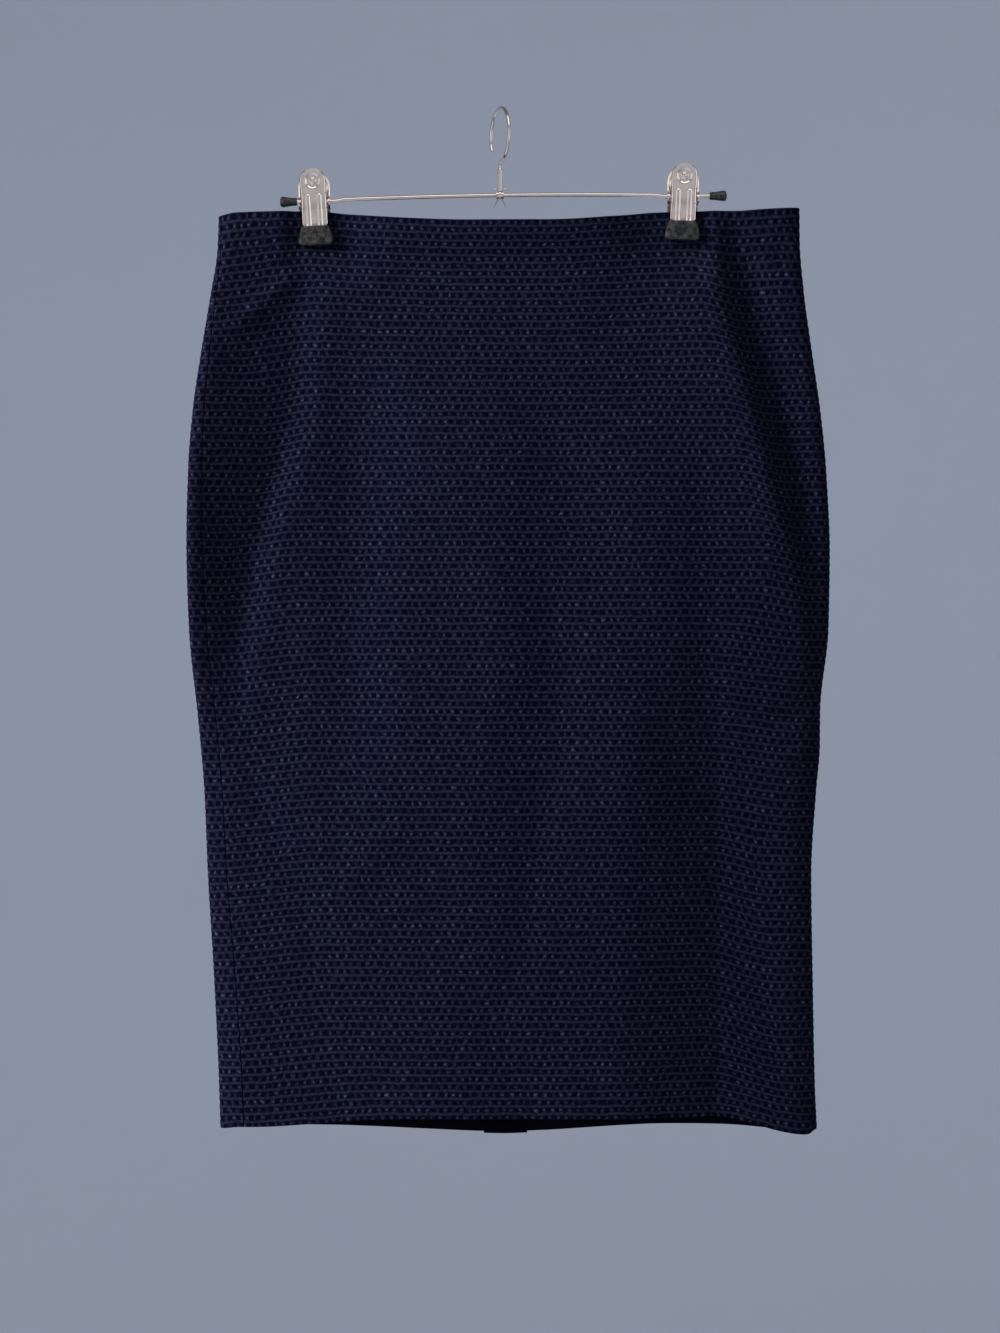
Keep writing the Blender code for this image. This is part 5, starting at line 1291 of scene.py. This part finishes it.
rubber = moulded_rubber()
for side_name, end, side in (("left", BAR_LEFT_END, -1.0), ("right", BAR_RIGHT_END, 1.0)):
    inner_end = end - side * CAP_OVER_BAR
    shares = np.concatenate((np.linspace(0.0, 0.9, 19), 1.0 - np.linspace(0.1, 0.0, 9)[1:] ** 1.3 * 2.0))
    shares = np.unique(np.clip(shares, 0.0, 1.0))
    radii = from_table(CAP_WIDTHS, CAP_WIDTH_COLUMNS, "radius", shares)
    outline = [(inner_end + side * share * CAP_LENGTH, max(float(radius), 0.0))
               for share, radius in zip(shares, radii)]
    bore_floor = end + side * CAP_FLOOR_GAP
    outline += [(bore_floor, 0.0), (bore_floor, BAR_BORE), (inner_end, BAR_BORE)]
    lift = Matrix.Translation((end * MM, 0.0, float(bar_height(end)) * MM))
    back = Matrix.Translation((-end * MM, 0.0, 0.0))
    cap = solid_piece("end_cap_bulb_" + side_name, [turned(outline, 40)],
                      lift @ Matrix.Rotation(-BAR_TILT, 4, "Y") @ back, rubber, 50.0)
    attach(cap, "root")
    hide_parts("end_cap_" + side_name)


# ==== Clip plates =============================================================================
# Each clip has a front and a wider rear plate, pressed from 0.8 mm steel and chromed. The sides are
# folded back and go on as ears round the bar. A dish with a dome and two ribs stiffen the face.

CLIPS = (
    # name, x of the clip on the bar, lean in degrees (positive: foot to the right)
    ("left", -124.4, 3.2),
    ("right", 122.8, -2.1),
)
PLATE_THICKNESS = 0.8
PLATE_TOP = 21.2
PLATE_FOOT = -24.0
JAW_TOP = -16.0                 # below this a plate narrows to go into the slot of its pad
PLATE_HALF = {"front": 8.7, "rear": 10.5}
ROUND_TOP_POWER = 2.3           # 2 is a half circle; the tops are a little fuller
JAW_HALF = 7.5
PLATE_PROFILE = (
    # height above the bar, stand-off of the face from the bar, depth of the folded side
    (-24.0, 5.2, 1.2),
    (-16.1, 5.3, 1.4),
    (-8.0, 6.5, 1.9),
    (0.0, 7.3, 2.2),
    (8.0, 8.7, 2.0),
    (13.0, 9.7, 1.9),
    (21.2, 11.2, 1.7),
)
PROFILE_COLUMNS = ("height", "stand", "edge")
EAR_HALF = 4.9                  # half height of the ear that the bar runs through
EAR_REACH = 8.5                 # how much further than the folded side it reaches
FOLD_RADIUS = 1.9
DISH_HEIGHT = 13.1
DISH_RADIUS = 5.3
DISH_DEPTH = 1.0
DOME_RADIUS = 2.6
DOME_RISE = 1.3
RIB_OFFSET = 3.8
RIB_HALF = 1.7
RIB_RISE = 0.8
RIB_TOP = 4.6
CLIP_PLAY = 0.5                 # the holes of a clip are wider than the bar, so it hangs lower


def plate_relief(x, height):
    """How far the face of a plate stands proud: a round dish with a dome in it, and two ribs."""
    from_dish = np.hypot(x, height - DISH_HEIGHT)
    relief = -DISH_DEPTH * soft_step(from_dish, DISH_RADIUS, DISH_RADIUS - 1.5)
    relief += DOME_RISE * soft_step(from_dish, DOME_RADIUS, DOME_RADIUS - 1.7)
    above = np.clip(height - RIB_TOP + RIB_HALF, 0.0, None)
    for middle in (-RIB_OFFSET, RIB_OFFSET):
        relief += RIB_RISE * soft_step(np.hypot(x - middle, above), RIB_HALF, RIB_HALF - 1.0)
    return relief


def plate_body(side, half_width):
    """A pressed plate as a closed strip bent round at both sides; side is -1 for the front."""
    ears = -EAR_HALF * np.cos(np.linspace(0.0, math.pi, 15))
    rows = np.concatenate((np.linspace(PLATE_FOOT, JAW_TOP - 0.2, 5), np.linspace(-15.4, -5.6, 17), ears,
                           np.linspace(5.5, PLATE_TOP - half_width, 12)))
    round_top = PLATE_TOP - half_width + half_width * np.sin(np.radians(np.linspace(4.0, 85.0, 24)))
    rows = np.unique(np.concatenate((rows, round_top)))
    rings = []
    for height in rows:
        above = max(height - (PLATE_TOP - half_width), 0.0) / half_width
        wide = half_width * max(1.0 - above ** ROUND_TOP_POWER, 0.004) ** (1.0 / ROUND_TOP_POWER)
        wide = min(wide, JAW_HALF if height < JAW_TOP else wide)
        stand = float(from_table(PLATE_PROFILE, PROFILE_COLUMNS, "stand", height))
        edge = float(from_table(PLATE_PROFILE, PROFILE_COLUMNS, "edge", height))
        edge += EAR_REACH * math.sqrt(max(1.0 - (height / EAR_HALF) ** 2, 0.0))
        bend = min(FOLD_RADIUS, edge * 0.8, wide * 0.5)
        path = [(-wide, stand - edge)]
        for turn in np.radians(np.linspace(0.0, 90.0, 7)):
            path.append((-wide + bend * (1.0 - math.cos(turn)), stand - bend * (1.0 - math.sin(turn))))
        for share in np.linspace(-1.0, 1.0, 39)[1:-1]:
            x = share * (wide - bend)
            path.append((x, stand + float(plate_relief(x, height))))
        for turn in np.radians(np.linspace(90.0, 0.0, 7)):
            path.append((wide - bend * (1.0 - math.cos(turn)), stand - bend * (1.0 - math.sin(turn))))
        path.append((wide, stand - edge))
        path = np.array(path)
        ahead = np.gradient(path, axis=0)
        ahead /= np.hypot(ahead[:, 0], ahead[:, 1])[:, None]
        inside = path + np.column_stack((ahead[:, 1], -ahead[:, 0])) * PLATE_THICKNESS
        ring = np.concatenate((path, inside[::-1]))
        rings.append([(x, side * out, height) for x, out in ring])
    return closed_rings(rings)


def clip_place(x, lean):
    """Where a clip's own frame lies: its origin is on the bar's axis, and its foot leans aside."""
    lift = Matrix.Translation((x * MM, 0.0, (float(bar_height(x)) - CLIP_PLAY) * MM))
    return lift @ Matrix.Rotation(-math.radians(lean), 4, "Y")


for clip, clip_x, lean in CLIPS:
    for plate_name, side in (("front", -1.0), ("rear", 1.0)):
        plate = solid_piece("%s_clip_%s_jaw" % (clip, plate_name),
                            [plate_body(side, PLATE_HALF[plate_name])],
                            clip_place(clip_x, lean), chrome, 55.0)
        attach(plate, "root")
        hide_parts("clip_%s_%s_plate" % (clip, plate_name))


# ==== Clip springs ============================================================================
# A coil of bright spring wire round the bar in each clip; its two legs push the handles apart.

SPRING_RADIUS = 3.1
SPRING_WIRE = 1.1
SPRING_TURNS = 3.5
SPRING_HALF_LENGTH = 4.2
SPRING_LEG_HEIGHT = 13.0
SPRING_LEG_OUT = 7.9            # a leg rests just inside the face of its plate

for clip, clip_x, lean in CLIPS:
    coil = [(-SPRING_HALF_LENGTH, -SPRING_LEG_OUT, SPRING_LEG_HEIGHT),
            (-SPRING_HALF_LENGTH, -SPRING_RADIUS - 1.0, SPRING_RADIUS)]
    for share in np.linspace(0.0, 1.0, int(SPRING_TURNS * 30) + 1):
        angle = math.pi - 2.0 * math.pi * SPRING_TURNS * share
        coil.append((SPRING_HALF_LENGTH * (2.0 * share - 1.0), SPRING_RADIUS * math.cos(angle),
                     -SPRING_RADIUS * math.sin(angle)))
    coil.append((SPRING_HALF_LENGTH, SPRING_RADIUS + 1.0, SPRING_RADIUS))
    coil.append((SPRING_HALF_LENGTH, SPRING_LEG_OUT, SPRING_LEG_HEIGHT))
    place = clip_place(clip_x, lean)
    spring = wire("%s_clip_coil" % clip, [(place @ (Vector(spot) * MM)) / MM for spot in coil],
                  SPRING_WIRE, sides=12)
    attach(spring, "root")
    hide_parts("clip_%s_spring" % clip)


# ==== Clip pads ===============================================================================
# A black rubber shoe moulded over the foot of each plate, flared towards its foot, with rounded
# corners and a slot in its top for the plate. Its flat inner face grips the cloth.

PAD_TOP = -16.5
PAD_FOOT = -29.6
PAD_TOP_HALF = 8.9
PAD_FOOT_HALF = 11.4
PAD_BELL = 0.7                  # share of the height over which the sides curve outwards
PAD_CORNER = 2.6
PAD_THICKNESS = 5.2
PAD_FACE = PINCHED_HALF + 0.3
PAD_EDGE = 1.7
PAD_INNER_EDGE = 0.35
PAD_LIP = 0.9                   # radius of the rounded rim round the slot
SLOT_HALF = JAW_HALF + 0.3
SLOT_NEAR = 3.7
SLOT_FAR = 5.6
SLOT_FOOT = -24.3


def pad_ring(half, near, far, level, edge, inner_edge, side):
    """One level of a pad: a rectangle with rounded corners, softer on its outer face."""
    corners = ((half - edge, far - edge, edge, 0.0), (-half + edge, far - edge, edge, 90.0),
               (-half + inner_edge, near + inner_edge, inner_edge, 180.0),
               (half - inner_edge, near + inner_edge, inner_edge, 270.0))
    ring = []
    for x, y, radius, first in corners:
        for turn in np.radians(np.linspace(first, first + 90.0, 7)):
            ring.append((x + radius * math.cos(turn), side * (y + radius * math.sin(turn)), level))
    return ring


def pad_body(side):
    """A rubber shoe, from its rounded foot up to its lip and down again into the slot."""
    levels = np.concatenate((PAD_FOOT + PAD_CORNER * (1.0 - np.cos(np.linspace(0.12, math.pi / 2.0, 10))),
                             np.linspace(PAD_FOOT + PAD_CORNER + 1.0, PAD_TOP - PAD_LIP, 8),
                             PAD_TOP - PAD_LIP + PAD_LIP * np.sin(np.linspace(0.25, math.pi / 2.0, 5))))
    rings = []
    for level_z in levels:
        share = min((PAD_TOP - level_z) / (PAD_TOP - PAD_FOOT) / PAD_BELL, 1.0)
        half = PAD_TOP_HALF + (PAD_FOOT_HALF - PAD_TOP_HALF) * math.sin(math.pi / 2.0 * share)
        low = max(PAD_FOOT + PAD_CORNER - level_z, 0.0)
        half -= PAD_CORNER - math.sqrt(max(PAD_CORNER ** 2 - low ** 2, 0.0))
        tuck = max(PAD_FOOT + PAD_EDGE - level_z, 0.0)
        shrink = PAD_EDGE - math.sqrt(max(PAD_EDGE ** 2 - tuck ** 2, 0.0))
        lip = max(level_z - (PAD_TOP - PAD_LIP), 0.0)
        lip_shrink = PAD_LIP - math.sqrt(max(PAD_LIP ** 2 - lip ** 2, 0.0))
        rings.append(pad_ring(half - 0.6 * lip_shrink, PAD_FACE + 0.3 * (shrink + lip_shrink),
                              PAD_FACE + PAD_THICKNESS - shrink - 0.8 * lip_shrink, level_z,
                              PAD_EDGE, PAD_INNER_EDGE, side))
    for level_z in (PAD_TOP, PAD_TOP - 0.4, SLOT_FOOT):
        rings.append(pad_ring(SLOT_HALF, SLOT_NEAR, SLOT_FAR, level_z, 0.3, 0.3, side))
    return closed_rings(rings)


for clip, clip_x, lean in CLIPS:
    for plate_name, side in (("front", -1.0), ("rear", 1.0)):
        pad = solid_piece("%s_clip_%s_shoe" % (clip, plate_name), [pad_body(side)],
                          clip_place(clip_x, lean), rubber, 50.0)
        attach(pad, "root")
        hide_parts("clip_%s_%s_pad" % (clip, plate_name))
